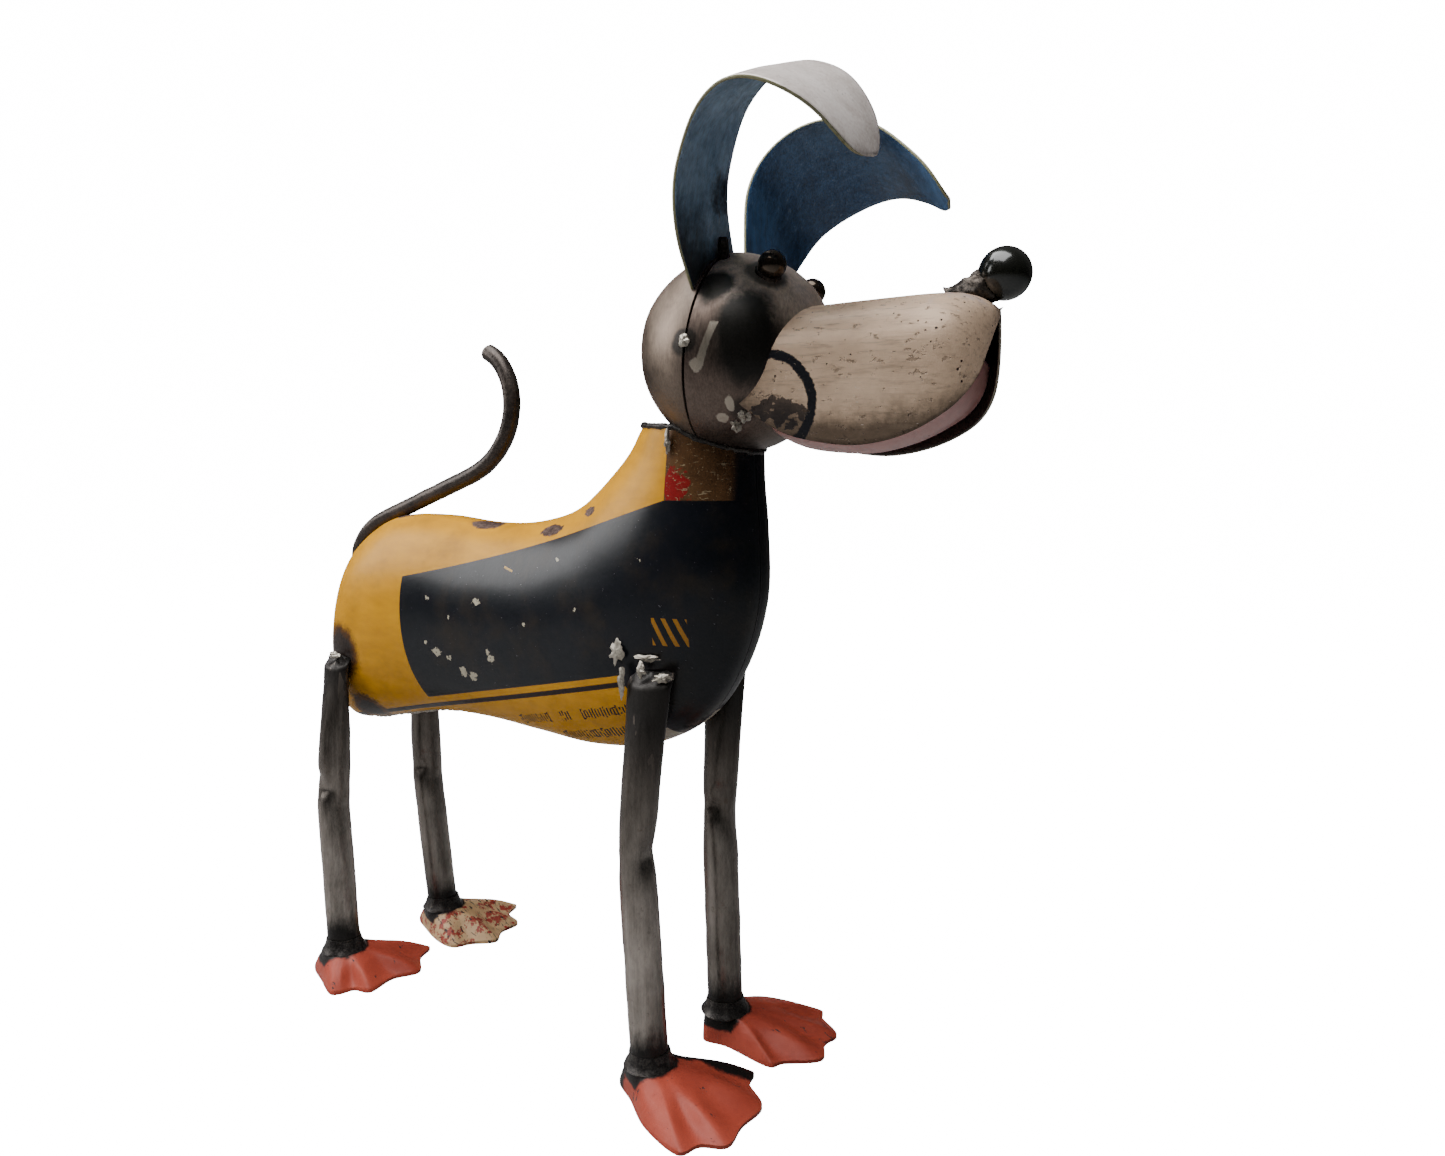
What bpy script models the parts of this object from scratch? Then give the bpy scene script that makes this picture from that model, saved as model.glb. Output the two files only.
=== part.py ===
"""A standing dog welded from pressed sheet halves, cut sheet, tube, rod and steel balls.

Frame: metres, +Z up, the dog faces +X and its left side is +Y. The floor is Z = 0 and the origin
is under the middle of the whole figure.
"""

import math

import bpy
import bmesh
from mathutils import Matrix, Vector

# Clearance and stock
GAP = 0.0003
SHEET = 0.0010
TUBE_DIAMETER = 0.0140
ROD_DIAMETER = 0.0070

# Body and neck
BODY_LENGTH = 0.2360
BODY_RISE = 0.1260
BODY_WIDTH = 0.0510
BELLY_HEIGHT = 0.1132
BODY_ROUNDNESS = 0.90
BODY_RINGS = 26
BODY_SIDE_POINTS = 10

# Each row is one cross-section, as shares of the sizes above:
# spine x, spine z, belly x, belly z, half-width
BODY_SECTIONS = (
    (-0.475, 0.370, -0.475, 0.105, 0.12),
    (-0.453, 0.462, -0.458, 0.024, 0.49),
    (-0.424, 0.562, -0.434, -0.010, 0.71),
    (-0.384, 0.654, -0.394, -0.008, 0.87),
    (-0.297, 0.734, -0.305, 0.026, 0.92),
    (-0.178, 0.746, -0.191, 0.067, 0.88),
    (-0.059, 0.730, -0.059, 0.075, 0.86),
    (0.034, 0.734, 0.068, 0.064, 0.90),
    (0.117, 0.762, 0.195, 0.056, 0.96),
    (0.169, 0.800, 0.309, 0.091, 1.00),
    (0.209, 0.853, 0.403, 0.190, 1.00),
    (0.241, 0.905, 0.462, 0.341, 0.96),
    (0.265, 0.948, 0.494, 0.524, 0.90),
    (0.281, 0.984, 0.496, 0.722, 0.82),
    (0.290, 1.010, 0.490, 0.873, 0.765),
    (0.300, 1.032, 0.488, 1.016, 0.725),
)

# Head
HEAD_DIAMETER = 0.0680
HEAD_SINK = 0.0090
HEAD_FORWARD = 0.0151
HEAD_TURN = math.radians(11)
HEAD_ROLL = math.radians(-5)
SEAM_SETBACK = 0.0043
SEAM_TILT = math.radians(-8)
HEAD_SIDES = 26

# Snout and jaw, measured from the middle of the head
SNOUT_REACH = 0.0890
SNOUT_REAR = 0.0090
SNOUT_WIDTH = 0.0510
SNOUT_CREST = 0.0158
SNOUT_ARCH = 0.0200
SNOUT_ROUND = 0.0260
SNOUT_RINGS = 18
SNOUT_POINTS = 15
# Rim of the snout as shares of its reach, from the throat to the tip
SNOUT_RIM = (
    (0.090, -0.200),
    (0.170, -0.262),
    (0.290, -0.332),
    (0.420, -0.364),
    (0.560, -0.375),
    (0.700, -0.350),
    (0.815, -0.301),
    (0.905, -0.235),
    (0.962, -0.143),
    (0.986, -0.024),
    (1.000, 0.095),
)
JAW_CLEARANCE = 0.0008
JAW_INSET = 0.0044
JAW_DROP = 0.0036
JAW_ROWS = (0.9, 8.8)
JAW_RINGS = 14
JAW_POINTS = 7

# Nose and eyes
NOSE_DIAMETER = 0.0168
NOSE_PLACE = (SNOUT_REACH + 0.0007, 0.0, 0.0220)
NOSE_STEM_DIAMETER = 0.0112
NOSE_STEM_FOOT = (SNOUT_REACH - 0.0140, 0.0, 0.0132)
EYE_DIAMETER = 0.0094
EYE_BEARING = math.radians(46)
EYE_ELEVATION = math.radians(42)
EYE_STANDOFF = 0.0030

# Ears, cut and bent by hand, so the two differ a little
EAR_LENGTH = 0.1199
EAR_RINGS = 16
EAR_POINTS = 5
EAR_TIP = 0.14
EAR_BEND_SPAN = 0.90
EAR_SWAY_SPAN = 0.62
# Foot, lean outward, heading at the foot, curl, straight share, turn about its own height, skew,
# sway to the outside and back
RIGHT_EAR = ((-0.0035, 0.0157, 0.0231), 26.8, 4.7, 163.6, 0.172, -4.4, 0.295, 0.0044)
LEFT_EAR = ((0.0006, 0.0168, 0.0253), 23.5, -7.0, 149.1, 0.053, 6.1, 0.239, 0.0002)
# Half-width at even steps from the foot up to the rounded tip
RIGHT_EAR_LEAF = (0.0157, 0.0188, 0.0217, 0.0223, 0.0143)
LEFT_EAR_LEAF = (0.0140, 0.0228, 0.0243, 0.0177, 0.0092)

# Tail
TAIL_LENGTH = 0.1584
TAIL_HUG = (0.9, 1.8)
TAIL_HUG_STEPS = 3
TAIL_BITE = 0.0003
TAIL_FIRST_HEADING = math.radians(89)
TAIL_LOW_HEADING = math.radians(19)
TAIL_SWEEP = math.radians(139)
TAIL_EASE = 0.233
TAIL_STRAIGHT = 0.545
TAIL_STEPS = 28
TAIL_SIDES = 10

# Legs
LEG_SIDES = 14
LEG_RINGS = 12
LEG_BITE = 0.0012
FLAT_THICKNESS = 0.0062
FLAT_REACH = 0.0520
KNEE_SPAN = 0.0100
# For each pair of legs: ankle x and y, knee x, y and z, top x and z, the share by which the knee
# is pinched, and the width of the flattened top. Every x is a share of the body's length
FRONT_LEGS = (0.3636, 0.0242, 0.3458, 0.0261, 0.0922, 0.3669, 0.1582, 0.18, 0.0190)
HIND_LEGS = (-0.3678, 0.0286, -0.3949, 0.0268, 0.0772, -0.3856, 0.1452, 0.06, 0.0152)

# Paws, cut and pressed by hand, so no two are alike
FRONT_PAW_LENGTH = 0.0575
HIND_PAW_LENGTH = 0.0495
PAW_HEIGHT = 0.0125
PAW_EDGE = 0.0014
PAW_RINGS = 4
PAW_GROOVE = 0.0016
PAW_SMOOTHING = 3
SEAT_MARGIN = 0.0012
# Round each sole from its heel: bearing in degrees and reach from the ankle as a share of the
# paw's length, then 1 at a notch between two toes
FRONT_RIGHT_SOLE = (
    (180, 0.25, 0),
    (-107, 0.15, 0),
    (-57, 0.37, 0),
    (-38, 0.66, 0),
    (-25, 0.65, 1),
    (-14, 0.75, 0),
    (2, 0.69, 1),
    (21, 0.73, 0),
    (40, 0.64, 1),
    (54, 0.68, 0),
    (82, 0.34, 0),
    (126, 0.21, 0),
)
FRONT_LEFT_SOLE = (
    (170, 0.17, 0),
    (-125, 0.16, 0),
    (-50, 0.15, 0),
    (-20, 0.48, 0),
    (-8, 0.53, 1),
    (8, 0.72, 0),
    (24, 0.70, 1),
    (34, 0.78, 0),
    (51, 0.73, 1),
    (61, 0.76, 0),
    (90, 0.57, 0),
    (130, 0.22, 0),
)
HIND_RIGHT_SOLE = (
    (-166, 0.34, 0),
    (-94, 0.24, 0),
    (-55, 0.42, 0),
    (-43, 0.44, 0),
    (-26, 0.41, 1),
    (-13, 0.53, 0),
    (17, 0.50, 1),
    (33, 0.68, 0),
    (57, 0.67, 1),
    (72, 0.79, 0),
    (98, 0.46, 0),
    (145, 0.29, 0),
)
HIND_LEFT_SOLE = (
    (178, 0.37, 0),
    (-127, 0.17, 0),
    (-50, 0.33, 0),
    (-31, 0.50, 0),
    (-12, 0.53, 1),
    (5, 0.68, 0),
    (23, 0.62, 1),
    (40, 0.73, 0),
    (60, 0.66, 1),
    (75, 0.80, 0),
    (100, 0.40, 0),
    (140, 0.31, 0),
)


def clear_scene():
    for item in list(bpy.data.objects):
        bpy.data.objects.remove(item, do_unlink=True)


def material(name, colour, roughness, metallic):
    made = bpy.data.materials.new(name)
    made.use_nodes = True
    shader = made.node_tree.nodes["Principled BSDF"]
    shader.inputs["Base Color"].default_value = (*colour, 1.0)
    shader.inputs["Roughness"].default_value = roughness
    shader.inputs["Metallic"].default_value = metallic
    return made


def new_object(name, shape, finish, parent):
    mesh = bpy.data.meshes.new(name)
    bmesh.ops.recalc_face_normals(shape, faces=shape.faces)
    shape.to_mesh(mesh)
    shape.free()
    mesh.shade_smooth()
    mesh.set_sharp_from_angle(angle=math.radians(35))
    piece = bpy.data.objects.new(name, mesh)
    piece.parent = parent
    bpy.context.scene.collection.objects.link(piece)
    if finish:
        mesh.materials.append(finish)
    return piece


def as_cutter(piece):
    piece.hide_render = True
    piece.display_type = "WIRE"
    return piece


def cut_away(piece, cutter):
    cut = piece.modifiers.new("cut " + cutter.name, "BOOLEAN")
    cut.operation = "DIFFERENCE"
    cut.object = cutter


def thicken(piece):
    wall = piece.modifiers.new("sheet", "SOLIDIFY")
    wall.thickness = SHEET
    wall.offset = -1
    wall.use_even_offset = True


def smooth_step(share):
    share = min(max(share, 0.0), 1.0)
    return share * share * (3 - 2 * share)


def through(rows, position):
    """A smooth curve through the rows, at a position counted in rows."""
    last = len(rows) - 1
    index = min(int(position), last - 1)
    t = position - index
    near = [rows[min(max(index + step, 0), last)] for step in (-1, 0, 1, 2)]
    return [
        b + 0.5 * t * (c - a + t * (2 * a - 5 * b + 4 * c - d + t * (3 * (b - c) + d - a)))
        for a, b, c, d in zip(*near)
    ]


def skin(rings, closed=True, capped=True):
    """A mesh over rings of points, each ring with the same count."""
    shape = bmesh.new()
    rows = [[shape.verts.new(point) for point in ring] for ring in rings]
    count = len(rows[0])
    for row, following in zip(rows, rows[1:]):
        for i in range(count if closed else count - 1):
            j = (i + 1) % count
            shape.faces.new((row[i], row[j], following[j], following[i]))
    if capped:
        shape.faces.new(rows[0])
        shape.faces.new(rows[-1])
    return shape


# Body


def body_section(position):
    """Spine point, belly point and half-width of the body at a position counted in sections."""
    spine_x, spine_z, belly_x, belly_z, width = through(BODY_SECTIONS, position)
    spine = Vector((spine_x * BODY_LENGTH, 0, BELLY_HEIGHT + spine_z * BODY_RISE))
    belly = Vector((belly_x * BODY_LENGTH, 0, BELLY_HEIGHT + belly_z * BODY_RISE))
    return spine, belly, width * BODY_WIDTH / 2


def body_point(position, angle, side, grow=0.0):
    """A point of the skin: angle 0 is the spine and pi the belly; side is -1 right, 1 left."""
    spine, belly, width = body_section(position)
    upright = (spine - belly) / 2
    upright += upright.normalized() * grow
    sideways = Vector((0, side * (width + grow), 0))
    return (spine + belly) / 2 + upright * math.cos(angle) + sideways * max(math.sin(angle), 0) ** BODY_ROUNDNESS


def body_positions():
    last = len(BODY_SECTIONS) - 1
    return [last * i / BODY_RINGS for i in range(BODY_RINGS + 1)]


def body_half(name, side, finish, parent):
    angles = [math.pi * i / BODY_SIDE_POINTS for i in range(BODY_SIDE_POINTS + 1)]
    away = Vector((0, side * GAP / 2, 0))
    rings = [[body_point(p, angle, side) + away for angle in angles] for p in body_positions()]
    return new_object(name, skin(rings), finish, parent)


def body_cutter(parent):
    """The whole body, larger by the clearance."""
    steps = [math.pi * i / BODY_SIDE_POINTS for i in range(BODY_SIDE_POINTS)]
    rings = []
    for p in body_positions():
        left = [body_point(p, angle, 1, 1.5 * GAP) for angle in steps]
        right = [body_point(p, math.pi - angle, -1, 1.5 * GAP) for angle in steps]
        rings.append(left + right)
    rings[0] = [point - Vector((GAP, 0, 0)) for point in rings[0]]
    return as_cutter(new_object("body_cutter", skin(rings), None, parent))


def flank(x, z):
    """Half-width of the body beside the middle-plane point x, z."""
    point = Vector((x, 0, z))
    best = None
    for step in range(4 * (len(BODY_SECTIONS) - 1) + 1):
        spine, belly, width = body_section(step / 4)
        upright = (spine - belly) / 2
        away = point - (spine + belly) / 2
        height = away.dot(upright) / upright.length_squared
        miss = (away - upright * height).length
        if best is None or miss < best[0]:
            best = miss, width * max(0.0, 1 - height * height) ** (BODY_ROUNDNESS / 2)
    return best[1]


# Head


def head_place():
    """Carries head points, x forward, y left and z up from the middle of the head, to the figure."""
    spine, belly, _ = body_section(len(BODY_SECTIONS) - 1)
    middle = (spine + belly) / 2 + Vector((HEAD_FORWARD, 0, HEAD_DIAMETER / 2 - HEAD_SINK))
    turn = Matrix.Rotation(HEAD_TURN, 4, "Z") @ Matrix.Rotation(HEAD_ROLL, 4, "X")
    return Matrix.Translation(middle) @ turn


def turned(profile, sides):
    """Rings about +X from pairs of distance along X and radius."""
    turns = [2 * math.pi * k / sides for k in range(sides)]
    return [[Vector((x, r * math.cos(t), r * math.sin(t))) for t in turns] for x, r in profile]


def with_pole(rings, pole):
    """A closed mesh: a pole point, the rings, and a flat cap on the last ring."""
    shape = skin(rings, capped=False)
    shape.verts.ensure_lookup_table()
    count = len(rings[0])
    first = shape.verts[:count]
    last = shape.verts[-count:]
    tip = shape.verts.new(pole)
    for i in range(count):
        shape.faces.new((tip, first[i], first[(i + 1) % count]))
    shape.faces.new(last)
    return shape


def head_half(name, front, place, finish, parent):
    """One half of the ball; the joint between the halves stands a little behind its middle."""
    radius = HEAD_DIAMETER / 2
    cut = GAP / 2 + (-SEAM_SETBACK if front else SEAM_SETBACK)
    edge = math.acos(cut / radius)
    steps = HEAD_SIDES // 3
    angles = [edge * (i + 1) / (steps + 1) for i in range(steps + 1)]
    profile = [(radius * math.cos(angle), radius * math.sin(angle)) for angle in angles]
    shape = with_pole(turned(profile, HEAD_SIDES), Vector((radius, 0, 0)))
    facing = Matrix.Rotation(0 if front else math.pi, 4, "Z")
    tilt = Matrix.Rotation(-SEAM_TILT, 4, "Y")
    bmesh.ops.transform(shape, matrix=place @ tilt @ facing, verts=shape.verts)
    return new_object(name, shape, finish, parent)


def ball(name, radius, middle, sides, finish, parent):
    shape = bmesh.new()
    bmesh.ops.create_uvsphere(shape, u_segments=sides, v_segments=sides // 2, radius=radius)
    bmesh.ops.translate(shape, vec=middle, verts=shape.verts)
    return new_object(name, shape, finish, parent)


def eye(name, side, place, finish, parent):
    reach = HEAD_DIAMETER / 2 + EYE_STANDOFF
    level = reach * math.cos(EYE_ELEVATION)
    sideways = side * level * math.sin(EYE_BEARING)
    middle = Vector((level * math.cos(EYE_BEARING), sideways, reach * math.sin(EYE_ELEVATION)))
    return ball(name, EYE_DIAMETER / 2, place @ middle, 12, finish, parent)


# Snout, jaw and nose


def snout_half_width(x):
    into_round = max(0.0, (x - (SNOUT_REACH - SNOUT_ROUND)) / SNOUT_ROUND)
    return SNOUT_WIDTH / 2 * math.sqrt(max(0.0, 1 - into_round ** 4))


def snout_crest(x):
    share = x / SNOUT_REACH
    return SNOUT_CREST * (0.80 + 0.30 * share - 0.43 * share ** 14)


def snout_section(x, turn, grow=0.0):
    """A point of the outside; turn 0 is the crest, pi / 2 the widest line, and more is below it."""
    side = 1 if turn >= 0 else -1
    width = side * (snout_half_width(x) + grow)
    crest = snout_crest(x) + grow
    arch = min(abs(turn), math.pi / 2)
    below = max(abs(turn) - math.pi / 2, 0)
    across = width * math.sin(arch) ** 0.9 * (1 - 0.1 * below * below)
    return Vector((x, across, crest - SNOUT_ARCH * (1 - math.cos(arch) + below)))


def snout_turn_at(x, height):
    """The turn at which the section at x reaches down to a height."""
    drop = (snout_crest(x) - height) / SNOUT_ARCH
    return math.acos(1 - max(drop, 0)) if drop <= 1 else math.pi / 2 + drop - 1


def rim_height(x):
    share = x / SNOUT_REACH
    for (low, first), (high, second) in zip(SNOUT_RIM, SNOUT_RIM[1:]):
        if share <= high:
            return (first + (second - first) * (share - low) / (high - low)) * SNOUT_REACH
    return SNOUT_RIM[-1][1] * SNOUT_REACH


def snout_rings(place, grow=0.0):
    rings = []
    for i in range(SNOUT_RINGS + 1):
        reach = math.sin(math.pi / 2 * i / SNOUT_RINGS) * 0.9985
        x = SNOUT_REAR + (SNOUT_REACH - SNOUT_REAR) * reach
        most = snout_turn_at(x, rim_height(x))
        turns = [most * (2 * k / (SNOUT_POINTS - 1) - 1) for k in range(SNOUT_POINTS)]
        rings.append([place @ snout_section(x, turn, grow) for turn in turns])
    return rings


def snout(place, finish, parent):
    piece = new_object("snout", skin(snout_rings(place), closed=False, capped=False), finish, parent)
    thicken(piece)
    return piece


def jaw_room(x, z):
    """Half the space between the snout's walls at x and z, less the jaw's clearance."""
    outside = abs(snout_section(x, snout_turn_at(x, z)).y)
    return max(outside - 1.5 * SHEET - JAW_CLEARANCE, SHEET)


def jaw(place, finish, parent):
    """A crowned tongue of sheet that closes the snout from below, just inside its rim."""
    rings = []
    first, last = JAW_ROWS
    for i in range(JAW_RINGS + 1):
        share = i / JAW_RINGS
        position = first + (last - first) * share
        x, z = (value * SNOUT_REACH for value in through(SNOUT_RIM, position))
        ahead = [value * SNOUT_REACH for value in through(SNOUT_RIM, position + 0.01)]
        along = Vector((ahead[0] - x, 0, ahead[1] - z)).normalized()
        outward = Vector((along.z, 0, -along.x))
        edge = Vector((x, 0, z)) - outward * JAW_INSET
        half = min(jaw_room(edge.x, edge.z), jaw_room(edge.x + 2 * SHEET, edge.z))
        ring = []
        for k in range(JAW_POINTS):
            across = 2 * k / (JAW_POINTS - 1) - 1
            crown = outward * (JAW_INSET + JAW_DROP) * (1 - share) * (1 - across * across)
            ring.append(place @ (edge + crown + Vector((0, half * across, 0))))
        rings.append(ring)
    piece = new_object("lower_jaw", skin(rings, closed=False, capped=False), finish, parent)
    thicken(piece)
    return piece


def nose(place, finish, parent):
    """A ball with the short thick stem that it is welded on by."""
    foot = Vector(NOSE_STEM_FOOT)
    middle = Vector(NOSE_PLACE)
    radius = NOSE_DIAMETER / 2
    stem = NOSE_STEM_DIAMETER / 2
    length = (middle - foot).length
    start = math.asin(stem / radius)
    angles = [start + (math.pi - start) * i / 9 for i in range(9)]
    profile = [(length - radius * math.cos(angle), radius * math.sin(angle)) for angle in angles]
    rings = turned(profile[::-1] + [(0.0, stem)], 14)
    shape = with_pole(rings, Vector((length + radius, 0, 0)))
    aim = (middle - foot).to_track_quat("X", "Z").to_matrix().to_4x4()
    bmesh.ops.transform(shape, matrix=place @ Matrix.Translation(foot) @ aim, verts=shape.verts)
    return new_object("nose", shape, finish, parent)


# Ears


def ear(name, side, bends, leaf, place, finish, parent):
    """A leaf of sheet, bent round one axis: it stands up, leans out and curls over forward."""
    (foot_x, foot_y, foot_z), lean, start, curl, straight, toe, skew, sway = bends
    lean, start, curl, toe = (math.radians(angle) for angle in (lean, start, curl, toe))
    up = Vector((0, side * math.sin(lean), math.cos(lean)))
    outward = Vector((0, side * math.cos(lean), -math.sin(lean)))
    across = outward * math.cos(toe) + Vector((math.sin(toe), 0, 0))
    forward = Vector((math.cos(toe), 0, 0)) - outward * math.sin(toe)
    centre = Vector((foot_x, side * foot_y, foot_z))
    steps = 8 * EAR_RINGS
    rings = []
    for step in range(steps + 1):
        share = step / steps
        if step % 8 == 0:
            half = through([(value,) for value in leaf], share * (len(leaf) - 1))[0]
            into_tip = max(0.0, (share - 1 + EAR_TIP) / EAR_TIP)
            half = max(half * math.sqrt(1 - into_tip ** 3), 2 * SHEET)
            spread = [2 * k / (EAR_POINTS - 1) - 1 for k in range(EAR_POINTS)]
            aside = skew * share * half + sway * math.sin(2 * math.pi * min(share / EAR_SWAY_SPAN, 1))
            rings.append([place @ (centre + across * (half * k + aside)) for k in spread])
        bend = start + curl * smooth_step((share - straight) / EAR_BEND_SPAN)
        centre = centre + (up * math.cos(bend) + forward * math.sin(bend)) * EAR_LENGTH / steps
    piece = new_object(name, skin(rings, closed=False, capped=False), finish, parent)
    thicken(piece)
    return piece


# Tail


def tail(finish, parent):
    """A rod welded up the rear of the rump, that bends forward over it and sweeps up into a hook."""
    off = ROD_DIAMETER / 2 - TAIL_BITE
    path = []
    low, high = TAIL_HUG
    for i in range(TAIL_HUG_STEPS + 1):
        position = low + (high - low) * i / TAIL_HUG_STEPS
        spine = body_section(position)[0]
        along = (body_section(position + 0.05)[0] - spine).normalized()
        path.append(spine + Vector((-along.z, 0, along.x)) * off)
    for i in range(1, TAIL_STEPS + 1):
        share = (i - 0.5) / TAIL_STEPS
        easing = max(0.0, 1 - share / TAIL_EASE) ** 2
        turn = max(0.0, (share - TAIL_STRAIGHT) / (1 - TAIL_STRAIGHT)) ** 1.5
        heading = TAIL_LOW_HEADING + (TAIL_FIRST_HEADING - TAIL_LOW_HEADING) * easing + TAIL_SWEEP * turn
        step = Vector((math.cos(heading), 0, math.sin(heading))) * TAIL_LENGTH / TAIL_STEPS
        path.append(path[-1] + step)
    rings = []
    for i, point in enumerate(path):
        along = (path[min(i + 1, len(path) - 1)] - path[max(i - 1, 0)]).normalized()
        normal = Vector((-along.z, 0, along.x))
        ring = []
        for k in range(TAIL_SIDES):
            turn = 2 * math.pi * k / TAIL_SIDES
            out = normal * math.cos(turn) + Vector((0, math.sin(turn), 0))
            ring.append(point + out * ROD_DIAMETER / 2)
        rings.append(ring)
    return new_object("tail", skin(rings), finish, parent)


# Legs and paws


def leg_section(pair, height):
    """Middle x and y, and the fore-and-aft and sideways half-sizes, at a height above the floor."""
    ankle_x, ankle_y, knee_x, knee_y, knee_z, top_x, top_z, pinch, flat_width = pair
    ankle_x, knee_x, top_x = (x * BODY_LENGTH for x in (ankle_x, knee_x, top_x))
    top_y = flank(top_x, top_z) + FLAT_THICKNESS / 2 - LEG_BITE
    if height < knee_z:
        share = (height - PAW_HEIGHT) / (knee_z - PAW_HEIGHT)
        x, y = ankle_x + (knee_x - ankle_x) * share, ankle_y + (knee_y - ankle_y) * share
    else:
        share = (height - knee_z) / (top_z - knee_z)
        x, y = knee_x + (top_x - knee_x) * share, knee_y + (top_y - knee_y) * share
    flat = smooth_step((height - top_z + FLAT_REACH) / FLAT_REACH)
    dent = pinch * math.exp(-(((height - knee_z) / KNEE_SPAN) ** 2))
    length = (TUBE_DIAMETER + (flat_width - TUBE_DIAMETER) * flat) * (1 - dent)
    width = (TUBE_DIAMETER + (FLAT_THICKNESS - TUBE_DIAMETER) * flat) * (1 + dent / 2)
    return x, y, length / 2, width / 2


def leg(name, pair, side, finish, parent):
    foot = PAW_HEIGHT + GAP
    top_z = pair[6]
    rings = []
    for i in range(LEG_RINGS + 1):
        height = foot + (top_z - foot) * i / LEG_RINGS
        x, y, length, width = leg_section(pair, height)
        ring = []
        for k in range(LEG_SIDES):
            turn = 2 * math.pi * k / LEG_SIDES
            ring.append(Vector((x + length * math.cos(turn), side * y + width * math.sin(turn), height)))
        rings.append(ring)
    return new_object(name, skin(rings), finish, parent)


def paw_outline(sole, length):
    """Points of the sole round the ankle, each with how far it is into a groove between toes."""
    corners = []
    for bearing, share, groove in sole:
        angle = math.radians(bearing)
        corners.append((length * share * math.cos(angle), length * share * math.sin(angle), groove))
    looped = corners[-1:] + corners + corners[:2]
    outline = []
    for i in range(len(corners) * PAW_SMOOTHING):
        x, y, groove = through(looped, 1 + i / PAW_SMOOTHING)
        outline.append((Vector((x, y)), max(groove, 0.0)))
    return outline


def paw(name, pair, side, sole, length, finish, parent):
    """A domed plate with a rounded heel and pressed toes, flat below, with a level seat for its leg."""
    outline = paw_outline(sole, length)
    seat = TUBE_DIAMETER / 2 + SEAT_MARGIN
    rings = [[Vector((point.x, point.y, 0)) for point, _ in outline]]
    for i in range(PAW_RINGS + 1):
        inward = i / PAW_RINGS
        ring = []
        for point, groove in outline:
            place = point.lerp(point.normalized() * seat, inward)
            rise = (PAW_HEIGHT - PAW_EDGE) * (inward + math.sin(math.pi / 2 * inward)) / 2
            drop = PAW_GROOVE * groove * math.sin(math.pi * inward)
            ring.append(Vector((place.x, place.y, PAW_EDGE + rise - drop)))
        rings.append(ring)
    shape = skin(rings)
    ankle = Matrix.Translation((pair[0] * BODY_LENGTH, side * pair[1], 0))
    bmesh.ops.transform(shape, matrix=ankle, verts=shape.verts)
    return new_object(name, shape, finish, parent)


def stand_on_origin(figure):
    """Moves the figure so that the origin is under the middle of its box."""
    bpy.context.view_layer.update()
    graph = bpy.context.evaluated_depsgraph_get()
    corners = []
    for piece in figure.children:
        if not piece.hide_render:
            corners += [Vector(corner) for corner in piece.evaluated_get(graph).bound_box]
    low, high = (Vector(pick(corner[k] for corner in corners) for k in range(3)) for pick in (min, max))
    figure.location = (-(low.x + high.x) / 2, -(low.y + high.y) / 2, -low.z)


def main():
    clear_scene()
    yellow = material("yellow painted sheet", (0.62, 0.36, 0.03), 0.42, 0.0)
    black = material("black painted sheet", (0.02, 0.02, 0.025), 0.35, 0.0)
    grey_steel = material("pale brushed steel", (0.42, 0.38, 0.34), 0.38, 1.0)
    dark_steel = material("heat-darkened steel", (0.12, 0.10, 0.085), 0.35, 1.0)
    taupe = material("taupe painted sheet", (0.30, 0.25, 0.20), 0.40, 0.0)
    pink = material("pink painted sheet", (0.62, 0.30, 0.30), 0.40, 0.0)
    blue = material("blue painted sheet", (0.03, 0.08, 0.16), 0.35, 0.0)
    red = material("red painted sheet", (0.52, 0.10, 0.05), 0.50, 0.0)
    cream = material("cream painted sheet", (0.60, 0.42, 0.28), 0.50, 0.0)
    leg_steel = material("leg tube steel", (0.30, 0.28, 0.25), 0.40, 1.0)

    dog = bpy.data.objects.new("dog", None)
    bpy.context.scene.collection.objects.link(dog)
    place = head_place()

    body = body_cutter(dog)
    head = as_cutter(ball("head_cutter", HEAD_DIAMETER / 2 + GAP, place.translation, 40, None, dog))
    face = as_cutter(new_object("snout_cutter", skin(snout_rings(place, GAP)), None, dog))

    for name, side, finish in (("body_right_half", -1, black), ("body_left_half", 1, yellow)):
        cut_away(body_half(name, side, finish, dog), head)
    head_half("head_back_half", False, place, grey_steel, dog)
    head_half("head_front_half", True, place, dark_steel, dog)
    cut_away(snout(place, taupe, dog), head)
    cut_away(jaw(place, pink, dog), head)
    cut_away(nose(place, black, dog), face)
    for word, side, bends, leaf in (
        ("right", -1, RIGHT_EAR, RIGHT_EAR_LEAF),
        ("left", 1, LEFT_EAR, LEFT_EAR_LEAF),
    ):
        cut_away(eye(word + "_eye", side, place, black, dog), head)
        cut_away(ear(word + "_ear", side, bends, leaf, place, blue, dog), head)
    cut_away(tail(dark_steel, dog), body)

    for word, pair, side, sole, length, finish in (
        ("front_right", FRONT_LEGS, -1, FRONT_RIGHT_SOLE, FRONT_PAW_LENGTH, red),
        ("front_left", FRONT_LEGS, 1, FRONT_LEFT_SOLE, FRONT_PAW_LENGTH, red),
        ("hind_right", HIND_LEGS, -1, HIND_RIGHT_SOLE, HIND_PAW_LENGTH, red),
        ("hind_left", HIND_LEGS, 1, HIND_LEFT_SOLE, HIND_PAW_LENGTH, cream),
    ):
        cut_away(leg(word + "_leg", pair, side, leg_steel, dog), body)
        paw(word + "_paw", pair, side, sole, length, finish, dog)
    stand_on_origin(dog)


main()
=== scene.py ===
import math

import bmesh
import bpy
from mathutils import Matrix, Vector, noise


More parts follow.
